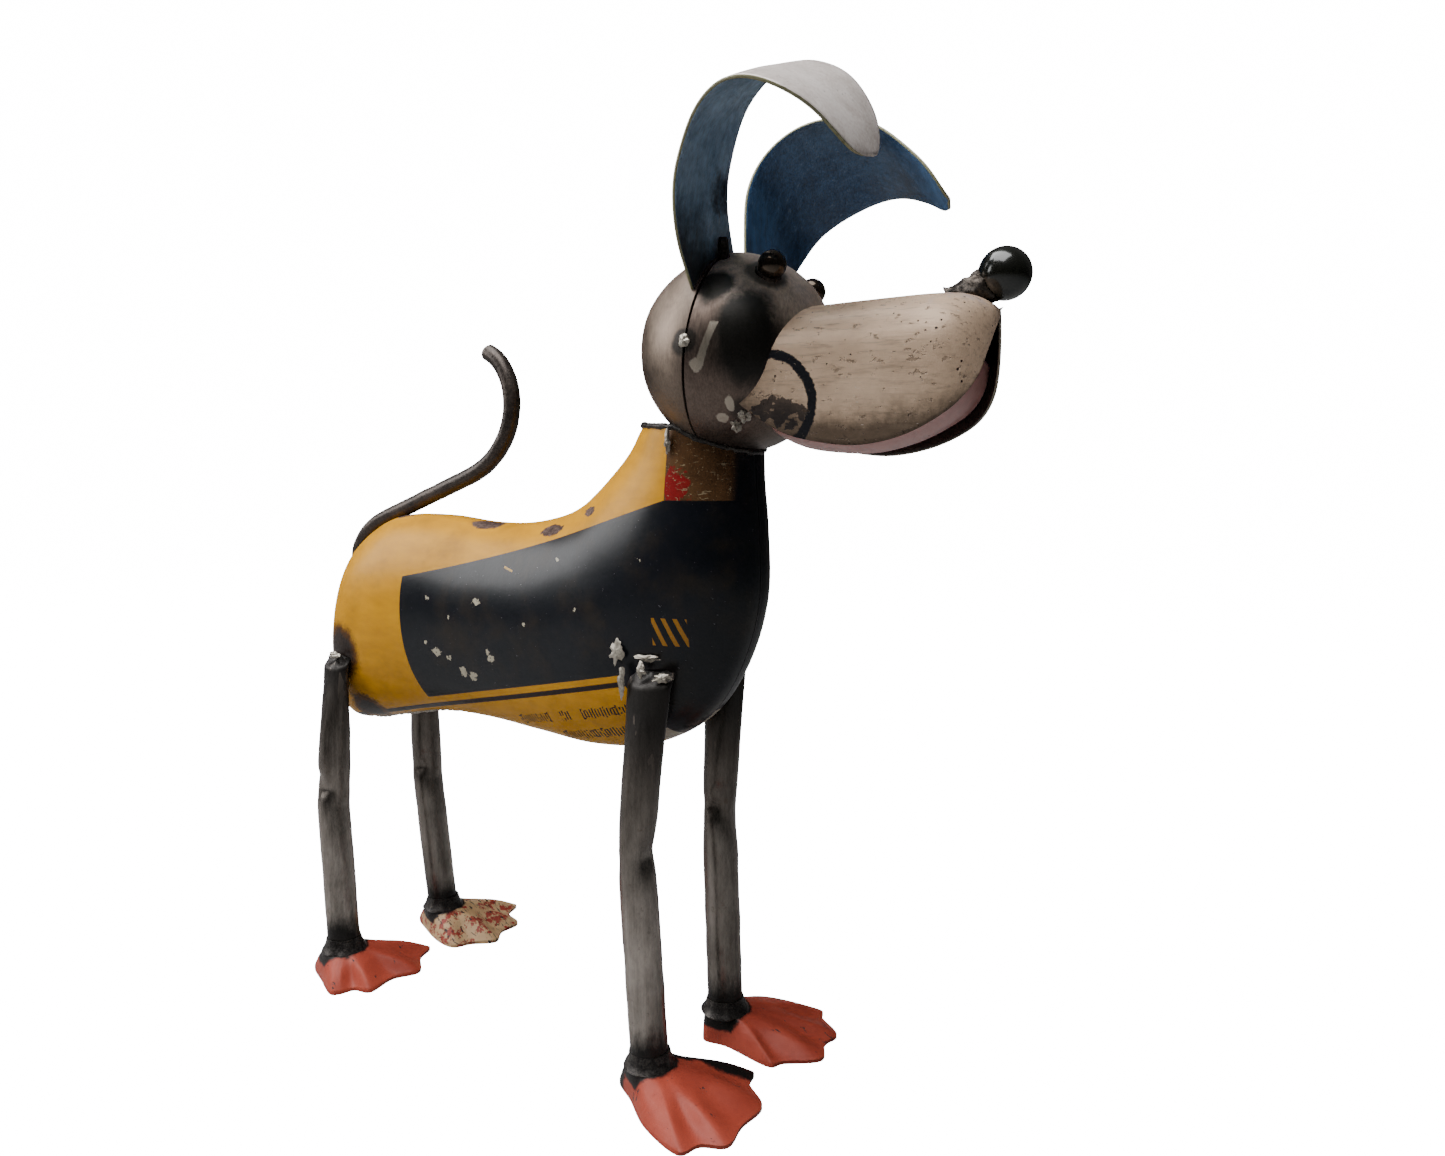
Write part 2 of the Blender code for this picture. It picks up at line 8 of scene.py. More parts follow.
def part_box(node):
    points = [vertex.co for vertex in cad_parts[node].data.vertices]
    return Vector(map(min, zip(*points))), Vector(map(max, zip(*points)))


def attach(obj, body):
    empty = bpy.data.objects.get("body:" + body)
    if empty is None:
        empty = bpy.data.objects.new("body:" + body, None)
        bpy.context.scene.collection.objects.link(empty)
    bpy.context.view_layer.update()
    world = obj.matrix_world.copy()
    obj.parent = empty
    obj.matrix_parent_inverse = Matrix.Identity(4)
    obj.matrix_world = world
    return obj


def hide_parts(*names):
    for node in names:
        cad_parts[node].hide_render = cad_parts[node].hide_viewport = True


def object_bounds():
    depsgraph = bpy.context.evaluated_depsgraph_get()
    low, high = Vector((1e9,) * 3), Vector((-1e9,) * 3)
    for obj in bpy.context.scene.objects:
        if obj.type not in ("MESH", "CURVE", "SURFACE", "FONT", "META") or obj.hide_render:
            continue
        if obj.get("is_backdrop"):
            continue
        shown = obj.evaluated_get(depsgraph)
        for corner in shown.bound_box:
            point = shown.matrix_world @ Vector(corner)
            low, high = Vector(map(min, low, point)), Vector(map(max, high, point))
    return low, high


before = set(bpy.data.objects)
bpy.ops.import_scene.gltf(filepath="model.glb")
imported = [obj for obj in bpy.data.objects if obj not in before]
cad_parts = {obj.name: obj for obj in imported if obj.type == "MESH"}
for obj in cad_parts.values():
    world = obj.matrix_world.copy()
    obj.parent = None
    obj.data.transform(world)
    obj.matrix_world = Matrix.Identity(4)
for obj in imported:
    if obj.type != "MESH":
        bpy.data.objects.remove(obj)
cad_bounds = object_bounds()


# Body: two half shells pressed from printed sheet, yellow with a black panel, and joined on the
# middle plane. Each half is a thin open shell whose lips turn in at the joint. The paint is worn
# through along the spine, scorched where the legs are welded on and chipped on the panel.

GAP = 0.0003
BODY_LENGTH = 0.236
BODY_RISE = 0.126
BODY_WIDTH = 0.051
BELLY_HEIGHT = 0.1132
BODY_ROUNDNESS = 0.9
BODY_RINGS = 150
BODY_SIDE_POINTS = 44
BODY_LIP = 0.0015
# Each row: spine x, spine z, belly x, belly z, half-width, as shares of the sizes above
BODY_SECTIONS = (
    (-0.475, 0.37, -0.475, 0.105, 0.12),
    (-0.453, 0.462, -0.458, 0.024, 0.49),
    (-0.424, 0.562, -0.434, -0.01, 0.71),
    (-0.384, 0.654, -0.394, -0.008, 0.87),
    (-0.297, 0.734, -0.305, 0.026, 0.92),
    (-0.178, 0.746, -0.191, 0.067, 0.88),
    (-0.059, 0.73, -0.059, 0.075, 0.86),
    (0.034, 0.734, 0.068, 0.064, 0.9),
    (0.117, 0.762, 0.195, 0.056, 0.96),
    (0.169, 0.8, 0.309, 0.091, 1.00),
    (0.209, 0.853, 0.403, 0.19, 1.00),
    (0.241, 0.905, 0.462, 0.341, 0.96),
    (0.265, 0.948, 0.494, 0.524, 0.9),
    (0.281, 0.984, 0.496, 0.722, 0.82),
    (0.29, 1.01, 0.49, 0.873, 0.765),
    (0.3, 1.032, 0.488, 1.016, 0.725),
)


class Wire:
    """One value in a material's node tree; arithmetic on wires adds the nodes that work it out."""

    def __init__(self, tree, socket):
        self.tree = tree
        self.socket = socket

    def node(self, kind, output, values, **settings):
        """Adds a node, sets or links its inputs, and gives one of its outputs."""
        made = self.tree.nodes.new("ShaderNode" + kind)
        for key, value in settings.items():
            setattr(made, key, value)
        for key, value in values.items():
            if isinstance(value, Wire):
                self.tree.links.new(value.socket, made.inputs[key])
            else:
                made.inputs[key].default_value = value
        return Wire(self.tree, made.outputs[output])

    def maths(self, operation, *values):
        return self.node("Math", 0, dict(enumerate(values)), operation=operation)

    def __add__(self, other):
        return self.maths("ADD", self, other)

    def __sub__(self, other):
        return self.maths("SUBTRACT", self, other)

    def __rsub__(self, other):
        return self.maths("SUBTRACT", other, self)

    def __mul__(self, other):
        return self.maths("MULTIPLY", self, other)

    __radd__ = __add__
    __rmul__ = __mul__

    def __truediv__(self, other):
        return self.maths("DIVIDE", self, other)

    def __abs__(self):
        return self.maths("ABSOLUTE", self)

    def fraction(self):
        return self.maths("FRACT", self)

    def most(self, other):
        return self.maths("MAXIMUM", self, other)

    def least(self, other):
        return self.maths("MINIMUM", self, other)

    def step(self, low, high):
        """0 below low and 1 above high, smooth between; low above high turns it round."""
        values = {"Value": self, "From Min": low, "From Max": high}
        return self.node("MapRange", "Result", values, interpolation_type="SMOOTHSTEP")

    def printed(self):
        """0 below 0 and 1 above it, as sharp as a printed edge."""
        return self.step(-PRINT_EDGE, PRINT_EDGE)

    def mix(self, first, second):
        """The first colour where this is 0 and the second where it is 1."""
        values = {0: self}
        for key, colour in ((6, first), (7, second)):
            values[key] = colour if isinstance(colour, Wire) else (*colour, 1.0)
        return self.node("Mix", 2, values, data_type="RGBA")

    def split(self):
        return [self.node("SeparateXYZ", axis, {0: self}) for axis in (0, 1, 2)]

    def scaled(self, factors):
        return self.node("VectorMath", 0, {0: self, 1: factors}, operation="MULTIPLY")

    def turned(self, angles):
        return self.node("Mapping", 0, {"Vector": self, "Rotation": angles}, vector_type="POINT")

    def distance(self, place):
        return self.node("VectorMath", "Value", {0: self, 1: place}, operation="DISTANCE")

    def near(self, place, ragged, outer, inner):
        """1 at a place and 0 away from it, with a ragged edge between two distances."""
        return (self.distance(place) + ragged).step(outer, inner)

    def near_pair(self, place, *settings):
        """The same at a place on the left and its mirror image on the right."""
        mirrored = (place[0], -place[1], place[2])
        return self.near(mirrored, *settings).most(self.near(place, *settings))

    def noise(self, scale, detail=3.0, roughness=0.55, distortion=0.0):
        values = {"Vector": self, "Scale": scale, "Detail": detail}
        return self.node("TexNoise", 0, values | {"Roughness": roughness, "Distortion": distortion})

    def ragged(self, depth, *settings):
        """Noise that swings to both sides of 0 by half its depth."""
        return (self.noise(*settings) - 0.5) * depth

    def cells(self, scale):
        return self.node("TexVoronoi", "Distance", {"Vector": self, "Scale": scale})

    def chance(self):
        """A number between 0 and 1 that changes with each whole step of this value."""
        whole = self.maths("FLOOR", self)
        return self.node("TexWhiteNoise", "Value", {"W": whole}, noise_dimensions="1D")

    def bump(self, distance):
        return self.node("Bump", 0, {"Height": self, "Distance": distance})


def sees(tree):
    """1 for the camera's own rays and 0 for the rest, so the backdrop can be white but dim."""
    return Wire(tree, tree.nodes.new("ShaderNodeLightPath").outputs["Is Camera Ray"])


def finish_of(name, build, turn=None, **constants):
    """A material whose inputs come from a function of the piece's own coordinates, turned back
    first where the piece's own turn is in its mesh."""
    made = bpy.data.materials.new(name)
    made.use_nodes = True
    tree = made.node_tree
    shader = tree.nodes["Principled BSDF"]
    at = Wire(tree, tree.nodes.new("ShaderNodeTexCoord").outputs["Object"])
    if turn is not None:
        at = at.turned(turn.inverted().to_euler())
    for key, value in build(at).items():
        tree.links.new(value.socket, shader.inputs[key])
    for key, value in constants.items():
        shader.inputs[key.replace("_", " ")].default_value = value
    return made


def through(rows, position):
    """A smooth curve through the rows, at a position counted in rows."""
    last = len(rows) - 1
    index = min(int(position), last - 1)
    t = position - index
    near = [rows[min(max(index + step, 0), last)] for step in (-1, 0, 1, 2)]
    return [
        b + 0.5 * t * (c - a + t * (2 * a - 5 * b + 4 * c - d + t * (3 * (b - c) + d - a)))
        for a, b, c, d in zip(*near)
    ]


def body_section(position):
    """Spine point, belly point and half-width of the body at a position counted in sections."""
    spine_x, spine_z, belly_x, belly_z, width = through(BODY_SECTIONS, position)
    spine = Vector((spine_x * BODY_LENGTH, 0, BELLY_HEIGHT + spine_z * BODY_RISE))
    belly = Vector((belly_x * BODY_LENGTH, 0, BELLY_HEIGHT + belly_z * BODY_RISE))
    return spine, belly, width * BODY_WIDTH / 2


def uneven(point, size, depth):
    """How far hand-worked sheet stands out or in at a point, for hollows of about that size."""
    return depth * noise.noise(point / size)


def circle(count):
    """Cosine and sine at even turns, all the way round."""
    turns = [2 * math.pi * k / count for k in range(count)]
    return [(math.cos(turn), math.sin(turn)) for turn in turns]


def surface(name, rows, closed=False, capped=False):
    """A smooth mesh over rows of points, each row with the same count."""
    shape = bmesh.new()
    made = [[shape.verts.new(point) for point in row] for row in rows]
    count = len(rows[0])
    for row, following in zip(made, made[1:]):
        for i in range(count if closed else count - 1):
            j = (i + 1) % count
            shape.faces.new((row[i], row[j], following[j], following[i]))
    if capped:
        shape.faces.new(made[0])
        shape.faces.new(made[-1])
    bmesh.ops.recalc_face_normals(shape, faces=shape.faces)
    middle = sum((vertex.co for vertex in shape.verts), Vector()) / len(shape.verts)
    if sum(face.normal.dot(face.calc_center_median() - middle) for face in shape.faces) < 0:
        bmesh.ops.reverse_faces(shape, faces=shape.faces)
    mesh = bpy.data.meshes.new(name)
    shape.to_mesh(mesh)
    shape.free()
    mesh.shade_smooth()
    mesh.set_sharp_from_angle(angle=math.radians(50))
    piece = bpy.data.objects.new(name, mesh)
    bpy.context.scene.collection.objects.link(piece)
    return piece


def place_piece(piece, place, material, slot, *nodes):
    """Puts a finished piece in the frame, gives it its material and hides the parts it stands for."""
    shift, turn, _ = place.decompose()
    piece.data.transform(turn.to_matrix().to_4x4())
    piece.matrix_world = Matrix.Translation(shift)
    piece.data.materials.append(material)
    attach(piece, "root")
    if nodes:
        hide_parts(*nodes)


def body_point(position, angle, side, lip=0.0):
    """A point of the skin: angle 0 is the spine and pi the belly; side is -1 right, 1 left."""
    spine, belly, width = body_section(position)
    upright = (spine - belly) / 2
    aside = Vector((0, side * width, 0)) * max(math.sin(angle), 0) ** BODY_ROUNDNESS
    out = upright * math.cos(angle) + aside
    point = (spine + belly) / 2 + out + Vector((0, side * GAP / 2, 0))
    swell = uneven(point, 0.028, 0.00045) * math.sin(angle)
    return point + out.normalized() * (swell - lip)


def body_shell(name, side):
    """A half shell from the rump to the neck, with a turned-in lip and its rear end drawn shut."""
    steps = [(math.pi * i / BODY_SIDE_POINTS, 0.0) for i in range(BODY_SIDE_POINTS + 1)]
    steps = [(0, BODY_LIP)] + steps + [(math.pi, BODY_LIP)]
    rows = []
    for i in range(BODY_RINGS + 1):
        position = (len(BODY_SECTIONS) - 1) * i / BODY_RINGS
        rows.append([body_point(position, angle, side, lip) for angle, lip in steps])
    end = rows[0]
    middle = (end[0] + end[-1]) / 2
    rows.insert(0, [point.lerp(middle, 0.9) for point in end])
    return surface(name, rows)


right_low, right_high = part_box("body_right_half")
left_low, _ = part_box("body_left_half")
rear = body_section(0)[0].x
stand = Matrix.Translation((right_low.x - rear, (right_high.y + left_low.y) / 2, 0))


def worn_sheet(at, colour, worn, glossy):
    """Painted sheet with fine dents: colour, then scraped, smoky metal where worn is 1."""
    fine = at.noise(900, 4, 0.6)
    broad = at.noise(60, 4, 0.6)
    dirt = broad.step(0.45, 0.75) * 0.22
    colour = dirt.mix(colour, (0.05, 0.03, 0.01))
    metal = (fine * 0.5 + broad * 0.5).step(0.35, 0.65)
    metal = metal.mix((0.045, 0.028, 0.024), (0.21, 0.145, 0.125))
    height = fine * 0.25 + broad * 2.0 - worn * 0.6
    return {
        "Base Color": worn.mix(colour, metal),
        "Roughness": broad * 0.2 + fine * 0.08 + worn * 0.14 + 0.2,
        "Metallic": worn * 0.6,
        "Coat Weight": glossy * (1 - worn) * 0.24 + 0.01,
        "Normal": height.bump(0.0001),
    }


def ragged_patches(at, patches, ragged):
    """1 inside ragged ovals: each is a place, its size and how much longer it is than high."""
    found = None
    for place, size, longer in patches:
        around = at.scaled((1.0 / longer, 1.0, 1.0))
        away = around.distance((place[0] / longer, place[1], place[2])) + ragged
        inside = away.step(size, size * 0.8)
        found = inside if found is None else found.most(inside)
    return found


YELLOW_DEEP = (0.4, 0.175, 0.006)
YELLOW_PALE = (0.66, 0.315, 0.014)
BLACK_DEEP = (0.0015, 0.0018, 0.0032)
BLACK_PALE = (0.007, 0.0075, 0.0115)
CREAM_DEEP = (0.34, 0.29, 0.22)
CREAM_PALE = (0.55, 0.5, 0.42)
RUST = (0.14, 0.06, 0.008)
GOLD = (0.3, 0.13, 0.01)
PRINT_EDGE = 0.0002
PRINT_LINE = 0.001
LINE_INK = (0.02, 0.012, 0.012)
CHIPS = (
    ((-0.0335, -0.0217, 0.1555), 0.001, 1.0),
    ((-0.0273, -0.0213, 0.1519), 0.0019, 1.4),
    ((-0.02, -0.0208, 0.1501), 0.001, 1.4),
    ((0.0036, -0.022, 0.1552), 0.0016, 0.7),
    ((0.0052, -0.022, 0.1528), 0.0018, 1.0),
    ((-0.013, -0.0197, 0.145), 0.0021, 1.0),
    ((-0.0078, -0.0194, 0.1437), 0.002, 1.4),
    ((-0.0036, -0.0215, 0.1746), 0.0009, 1.8),
    ((-0.0187, -0.0219, 0.1673), 0.0007, 1.0),
    ((-0.0321, -0.0216, 0.174), 0.0007, 1.4),
    ((0.0254, -0.0236, 0.1682), 0.0006, 1.0),
    ((0.0404, -0.0207, 0.1937), 0.0009, 1.0),
    ((0.053, -0.025, 0.1764), 0.0006, 1.0),
    ((0.083, -0.0242, 0.1963), 0.0007, 1.0),
    ((-0.048, -0.0205, 0.1905), 0.0008, 1.6),
)
SCRAPES = (
    ((-0.013, -0.005, 0.2042), 0.0042, 2.4),
    ((0.031, -0.013, 0.2038), 0.0032, 2.6),
    ((0.053, -0.016, 0.2118), 0.0022, 2.0),
    ((-0.065, -0.004, 0.2055), 0.0026, 2.6),
    ((0.072, -0.014, 0.226), 0.0018, 1.6),
)


def painted_tones(at):
    """The printed sheet's yellow, black and cream, each a little uneven."""
    yellow = at.scaled((1.0, 1.0, 3.0)).noise(70, 5, 0.6).mix(YELLOW_DEEP, YELLOW_PALE)
    black = at.noise(40, 4, 0.6).mix(BLACK_DEEP, BLACK_PALE)
    cream = at.noise(90, 4, 0.6).mix(CREAM_DEEP, CREAM_PALE)
    return yellow, black, cream


def rust_specks(at):
    return (at.scaled((1.0, 1.0, 1.7)).cells(300) + at.noise(45, 3) * 0.5).step(0.24, 0.19)


def letterless_rows(at, base, along):
    """Two rows of short dark strokes of uneven height, in words, that are no letters."""
    x, _, z = at.split()
    marks = None
    for drop, pitch, first in ((0.0099, 0.0015, 0.012), (0.0184, 0.0016, 0.034)):
        across = abs(z - (base - drop))
        column = along / pitch
        tall = column.chance() * 0.0011 + 0.0013
        within = (tall - across).step(-0.0001, 0.0001)
        stroke = (column.fraction() - 0.5).step(0.06, -0.06)
        bar = (along / (pitch * 2.0) + 7.0).chance().step(0.55, 0.56)
        bar = bar * (across - tall * 0.7).step(-0.0001, 0.0001)
        word = (along / 0.0062 + drop * 900).chance().step(0.16, 0.17) * (x - first).step(-0.0004, 0.0004)
        row = stroke.most(bar) * within * word
        marks = row if marks is None else marks.most(row)
    return marks * (at.noise(700, 2) - 0.4).step(-0.02, 0.02)


def printed_right(at):
    x, y, z = at.split()
    ragged = at.ragged(0.003, 260, 4, 0.7)
    top = 0.1922 + 0.233 * x + 0.43 * x * x
    left = 4.0 * (z - 0.17) * (z - 0.17) - 0.0488
    bottom = (0.1387 + 0.2115 * x).least(0.1539 - (x - 0.072) * 1.6)
    neck = (z - 0.2172).printed() * (x - 0.0915).printed()
    panel = ((top - z).printed() * (x - left).printed() * (z - bottom).printed()).most(neck)
    front = (x - 0.079).step(-0.001, 0.001) * (0.165 - z).step(-0.001, 0.001)
    base = 0.1349 + 0.2175 * x
    line = (PRINT_LINE - abs(z - base)).printed()
    marks = letterless_rows(at, base, x * 0.98 + z * 0.19)
    yellow, black, cream = painted_tones(at)
    colour = front.mix(yellow, cream)
    colour = (line * (1 - front)).mix(colour, LINE_INK)
    colour = (marks * (1 - front)).mix(colour, (0.026, 0.014, 0.01))
    colour = panel.mix(colour, black)
    picture = neck * (0.1128 - x).step(-0.0012, 0.0012)
    colour = picture.mix(colour, at.noise(180, 3).mix((0.04, 0.018, 0.008), (0.13, 0.065, 0.026)))
    red = at.distance((0.0955, -0.02, 0.2217)) + at.ragged(0.01, 330, 3)
    colour = (picture * red.step(0.0062, 0.005)).mix(colour, (0.2, 0.01, 0.01))
    pale = at.scaled((1.0, 1.0, 2.2)).noise(420, 2, 0.5, 1.5).step(0.64, 0.68)
    colour = (picture * pale).mix(colour, (0.26, 0.2, 0.12))
    slanted = (x - 0.0878 + (z - 0.165) * 0.45) / 0.0042
    gold = (slanted.fraction() - 0.4).step(0.03, -0.03)
    gold = gold * (0.0049 - abs(z - 0.1714)).printed() * (x - 0.0876).printed() * (0.1002 - x).printed()
    colour = (gold * panel).mix(colour, GOLD)
    scratch = abs(z - 0.1885 + 0.25 * (x - 0.013)) + abs(x - 0.013).step(0.0026, 0.0032)
    scratch = scratch.step(0.0005, 0.0003)
    colour = scratch.mix(colour, (0.45, 0.26, 0.05))
    flaked = ragged * 1.4 + at.ragged(0.0034, 700, 3, 0.7)
    chips = ragged_patches(at, CHIPS, flaked) * (at.noise(800, 3) - 0.38).step(-0.02, 0.02)
    colour = chips.mix(colour, (0.4, 0.36, 0.27))
    scuffs = (at.scaled((1.0, 1.0, 1.6)).noise(620, 3, 0.7) - 0.7).step(0.0, 0.02) * panel
    colour = (scuffs * 0.35).mix(colour, (0.2, 0.2, 0.22))
    colour = (rust_specks(at) * (1 - panel)).mix(colour, RUST)
    scrape = ragged_patches(at, SCRAPES, ragged * 1.3) * (1 - panel)
    hip = at.distance((-0.09, -0.023, 0.1462)) + ragged * 2.4
    seat = at.distance((-0.084, -0.012, 0.1187)) + ragged * 2.4
    colour = hip.step(0.015, 0.0095).most(seat.step(0.011, 0.0075)).mix(colour, (0.085, 0.034, 0.008))
    burn = hip.step(0.0105, 0.007).most(seat.step(0.007, 0.0045))
    colour = burn.mix(colour, (0.01, 0.007, 0.006))
    rim = (0.0 - y).step(0.0085, 0.0035) * (0.129 - z + 0.1 * x).step(0.0, 0.003)
    crinkle = (at.noise(150, 5, 0.8) - 0.54).step(-0.01, 0.03) * rim
    return worn_sheet(at, colour, scrape.most(crinkle * 0.7).most(burn * 0.15), panel)


def printed_left(at):
    x, _, z = at.split()
    ragged = at.ragged(0.006, 90, 5, 0.7)
    yellow, black, cream = painted_tones(at)
    chest = (x - 0.064 - z * 0.05).printed().mix(yellow, cream)
    chest = (z - 0.14).printed().mix(chest, black)
    rear = (0.058 - x).printed()
    flank_print = (z - 0.1492 - 0.12 * x).printed().mix(yellow, black)
    saddle = (z - 0.1872 - 0.18 * x - 0.6 * x * x).printed() * (0.093 - x).printed()
    colour = saddle.mix(rear.mix(chest, flank_print), yellow)
    line = (PRINT_LINE - abs(z - 0.1452 - 0.12 * x)).printed() * rear
    colour = line.mix(colour, LINE_INK)
    colour = rust_specks(at).mix(colour, RUST)
    mirrored = [((a, -b, c), size, longer) for (a, b, c), size, longer in SCRAPES]
    scrape = ragged_patches(at, mirrored, ragged * 0.6)
    burn = at.near((-0.09, 0.023, 0.1462), ragged, 0.012, 0.007)
    burn = burn.most(at.near((0.088, 0.024, 0.1572), ragged, 0.013, 0.008))
    return worn_sheet(at, burn.mix(colour, (0.012, 0.008, 0.007)), scrape, at.noise(40, 2) * 0.3)


for word, side, build, slot in (
    ("right", -1, printed_right, "black_paint"),
    ("left", 1, printed_left, "yellow_paint"),
):
    sheet = finish_of("printed_sheet_" + word, build, Specular_IOR_Level=0.12, Coat_Roughness=0.22)
    place_piece(body_shell("body_" + word + "_shell", side), stand, sheet, slot, "body_" + word + "_half")


# Head: a ball of two pressed steel halves, bare and brushed. The back half is pale, the front half
# is blackened by heat with bare strips and dabs, with a painted dark reflection on its cheeks and
# painted shadow under the ears' feet, and its top is painted paler as a highlight. A narrow joint
# is left open between them. The ball stands on the neck, turned a little to the left.

HEAD_DIAMETER = 0.068
HEAD_SINK = 0.009
HEAD_FORWARD = 0.0151
HEAD_TURN = math.radians(11)
HEAD_ROLL = math.radians(-5)
SEAM_SETBACK = 0.0043
SEAM_TILT = math.radians(-8)
HEAD_SIDES = 128
HEAD_RINGS = 60
HEAD_SKIN = 0.0002
HALF_GAP = 0.0005
SOOT_AND_SHADE = (0.012, 0.01, 0.008)
STAIN_DULLS = 0.35

neck_spine, neck_belly, _ = body_section(len(BODY_SECTIONS) - 1)
head_middle = (neck_spine + neck_belly) / 2 + Vector((HEAD_FORWARD, 0, HEAD_DIAMETER / 2 - HEAD_SINK))
head_turn = Matrix.Rotation(HEAD_TURN, 4, "Z") @ Matrix.Rotation(HEAD_ROLL, 4, "X")
head_place = stand @ Matrix.Translation(head_middle) @ head_turn


def head_shell(name, front):
    """Half a ball from its pole to the joint, where its lip turns in."""
    radius = HEAD_DIAMETER / 2
    cut = HALF_GAP + (-SEAM_SETBACK if front else SEAM_SETBACK)
    edge = math.acos(cut / radius)
    tilt = Matrix.Rotation(-SEAM_TILT, 4, "Y") @ Matrix.Rotation(0 if front else math.pi, 4, "Z")
    rows = []
    for i in range(HEAD_RINGS + 1):
        angle = max(edge * i / HEAD_RINGS, 0.004)
        row = []
        for level, upward in circle(HEAD_SIDES):
            out = Vector((math.cos(angle), math.sin(angle) * level, math.sin(angle) * upward))
            row.append(tilt @ (out * (radius - HEAD_SKIN + uneven(out * radius, 0.016, 0.0003))))
        rows.append(row)
    rows.append([point * 0.95 for point in rows[-1]])
    return surface(name, rows, closed=True)


def steel(at, pale, dark, stain_and_shade, brush, dull):
    """Brushed bare steel: a pale and a dark tone, and the near-black of soot, heat stain and painted shade
    where stain_and_shade is 1.
    """
    streak = at.scaled(brush).noise(1500, 3, 0.6)
    cloud = at.noise(70, 5, 0.65)
    tone = (streak * 0.45 + cloud * 0.75 - 0.1).step(0.15, 0.85).mix(dark, pale)
    return {
        "Base Color": stain_and_shade.mix(tone, SOOT_AND_SHADE),
        "Roughness": streak * 0.18 + cloud * 0.16 + dull,
        "Metallic": 1.0 - stain_and_shade * STAIN_DULLS,
        "Normal": (streak * 0.5 + cloud * 1.5).bump(0.00008),
    }


def back_steel(at):
    x, _, z = at.split()
    near_seam = (x + 0.011).step(0.0, 0.007) * 0.45
    foot = (0.0 - z).step(0.02, 0.034) * 0.5
    weld = at.near_pair((-0.0051, 0.0329, -0.0014), at.ragged(0.004, 200, 3), 0.0058, 0.0036)
    stain = ((near_seam + foot) * (at.noise(45, 4) + 0.4).least(1.0)).most(weld * 0.92)
    return steel(at, (0.255, 0.2, 0.16), (0.105, 0.08, 0.063), stain, (1.0, 1.0, 0.1), 0.3)


def front_steel(at):
    x, y, z = at.split()
    ragged = at.ragged(0.008, 130, 4, 0.7)
    # painted dark reflection: the cheeks of the front half are darkened in the soot tone
    cheek = at.scaled((1.0, 0.0, 0.56)).near((0.0145, 0.0, 0.0006), ragged * 0.6, 0.012, 0.0066)
    cheek = cheek * (abs(y) - 0.018).step(0.0, 0.006)
    # painted shadow under the ears' feet, in the soot tone
    crown = at.near_pair((0.003, 0.0285, 0.018), ragged, 0.01, 0.0045)
    eyes = at.near_pair((0.0165, 0.018, 0.0215), ragged * 0.4, 0.0085, 0.0058)
    corner = at.near((0.0126, -0.0225, -0.0222), ragged * 0.5, 0.0066, 0.003)
    bead_soot = at.near((-0.0046, -0.0337, -0.001), ragged * 0.3, 0.005, 0.0034)
    # stain gathers every darkened place, including the painted reflection and shadow above
    stain = cheek.most(crown).most(eyes * 0.8).most(corner * 0.75).most(bead_soot * 0.9)
    along = z + 0.0022
    strip = (abs(x - 0.0027 - along * 0.38) + ragged * 0.24).step(0.0016, 0.0011)
    strip = strip * (abs(along) + ragged * 0.3).step(0.0072, 0.0064)
    dab = at.near((-0.001, -0.0328, -0.0087), ragged * 0.5, 0.0024, 0.0018)
    low = at.scaled((1.6, 1.0, 0.35)).near((0.0136, -0.0256, -0.0071), ragged * 0.45, 0.0024, 0.0018)
    low = low.most(at.near((0.0049, -0.0226, -0.0249), ragged * 0.5, 0.0023, 0.0017))
    bare = strip.most(dab).most(low) * y.step(0.0, -0.001)
    # painted highlight: the top of the front half gets far paler tones and less metal, so it reads as lit
    top = (z + x * 0.5 - 0.014 + ragged).step(0.0, 0.009)
    pale = top.mix((0.185, 0.142, 0.118), (0.7, 0.585, 0.5))
    dark = top.mix((0.06, 0.044, 0.036), (0.29, 0.225, 0.18))
    made = steel(at, pale, dark, stain * (1 - bare), (1.0, 1.0, 0.14), 0.22)
    made["Base Color"] = (bare * 0.8).mix(made["Base Color"], (0.44, 0.385, 0.315))
    made["Metallic"] = (1.0 - stain * STAIN_DULLS) * (1.0 - top * 0.5)
    return made


pale_half = finish_of("head_steel_pale", back_steel, head_turn)
dark_half = finish_of("head_steel_dark", front_steel, head_turn)
place_piece(head_shell("head_back_shell", False), head_place, pale_half, "pale_steel", "head_back_half")
place_piece(head_shell("head_front_shell", True), head_place, dark_half, "dark_steel", "head_front_half")


# Snout and jaw: a taupe painted sheet arched over and rounded at its front, brown inside, with a
# second, pink sheet set just inside its rim. Both are thin sheet with cut edges, welded to the
# ball behind. The paint is pitted, darkened along the lower rim by soot and painted shade, and
# crossed by a dark printed arc.

SHEET = 0.001
SNOUT_REACH = 0.089
SNOUT_REAR = 0.009
SNOUT_WIDTH = 0.051
SNOUT_CREST = 0.0158
SNOUT_ARCH = 0.02
SNOUT_ROUND = 0.026
SNOUT_RINGS = 90
SNOUT_POINTS = 81
SNOUT_FRONT_SHARE = 0.9985
SNOUT_RIM = (
    (0.09, -0.2),
    (0.17, -0.262),
    (0.29, -0.332),
    (0.42, -0.364),
    (0.56, -0.375),
    (0.7, -0.35),
    (0.815, -0.301),
    (0.905, -0.235),
    (0.962, -0.143),
    (0.986, -0.024),
    (1.000, 0.095),
)
JAW_CLEARANCE = 0.0008
JAW_INSET = 0.0044
JAW_DROP = 0.0036
JAW_ROWS = (0.9, 8.8)
JAW_RINGS = 60
JAW_POINTS = 31


def snout_half_width(x):
    into_round = max(0.0, (x - (SNOUT_REACH - SNOUT_ROUND)) / SNOUT_ROUND)
    return SNOUT_WIDTH / 2 * math.sqrt(max(0.0, 1 - into_round ** 4))


def snout_crest(x):
    share = x / SNOUT_REACH
    return SNOUT_CREST * (0.8 + 0.3 * share - 0.43 * share ** 14)


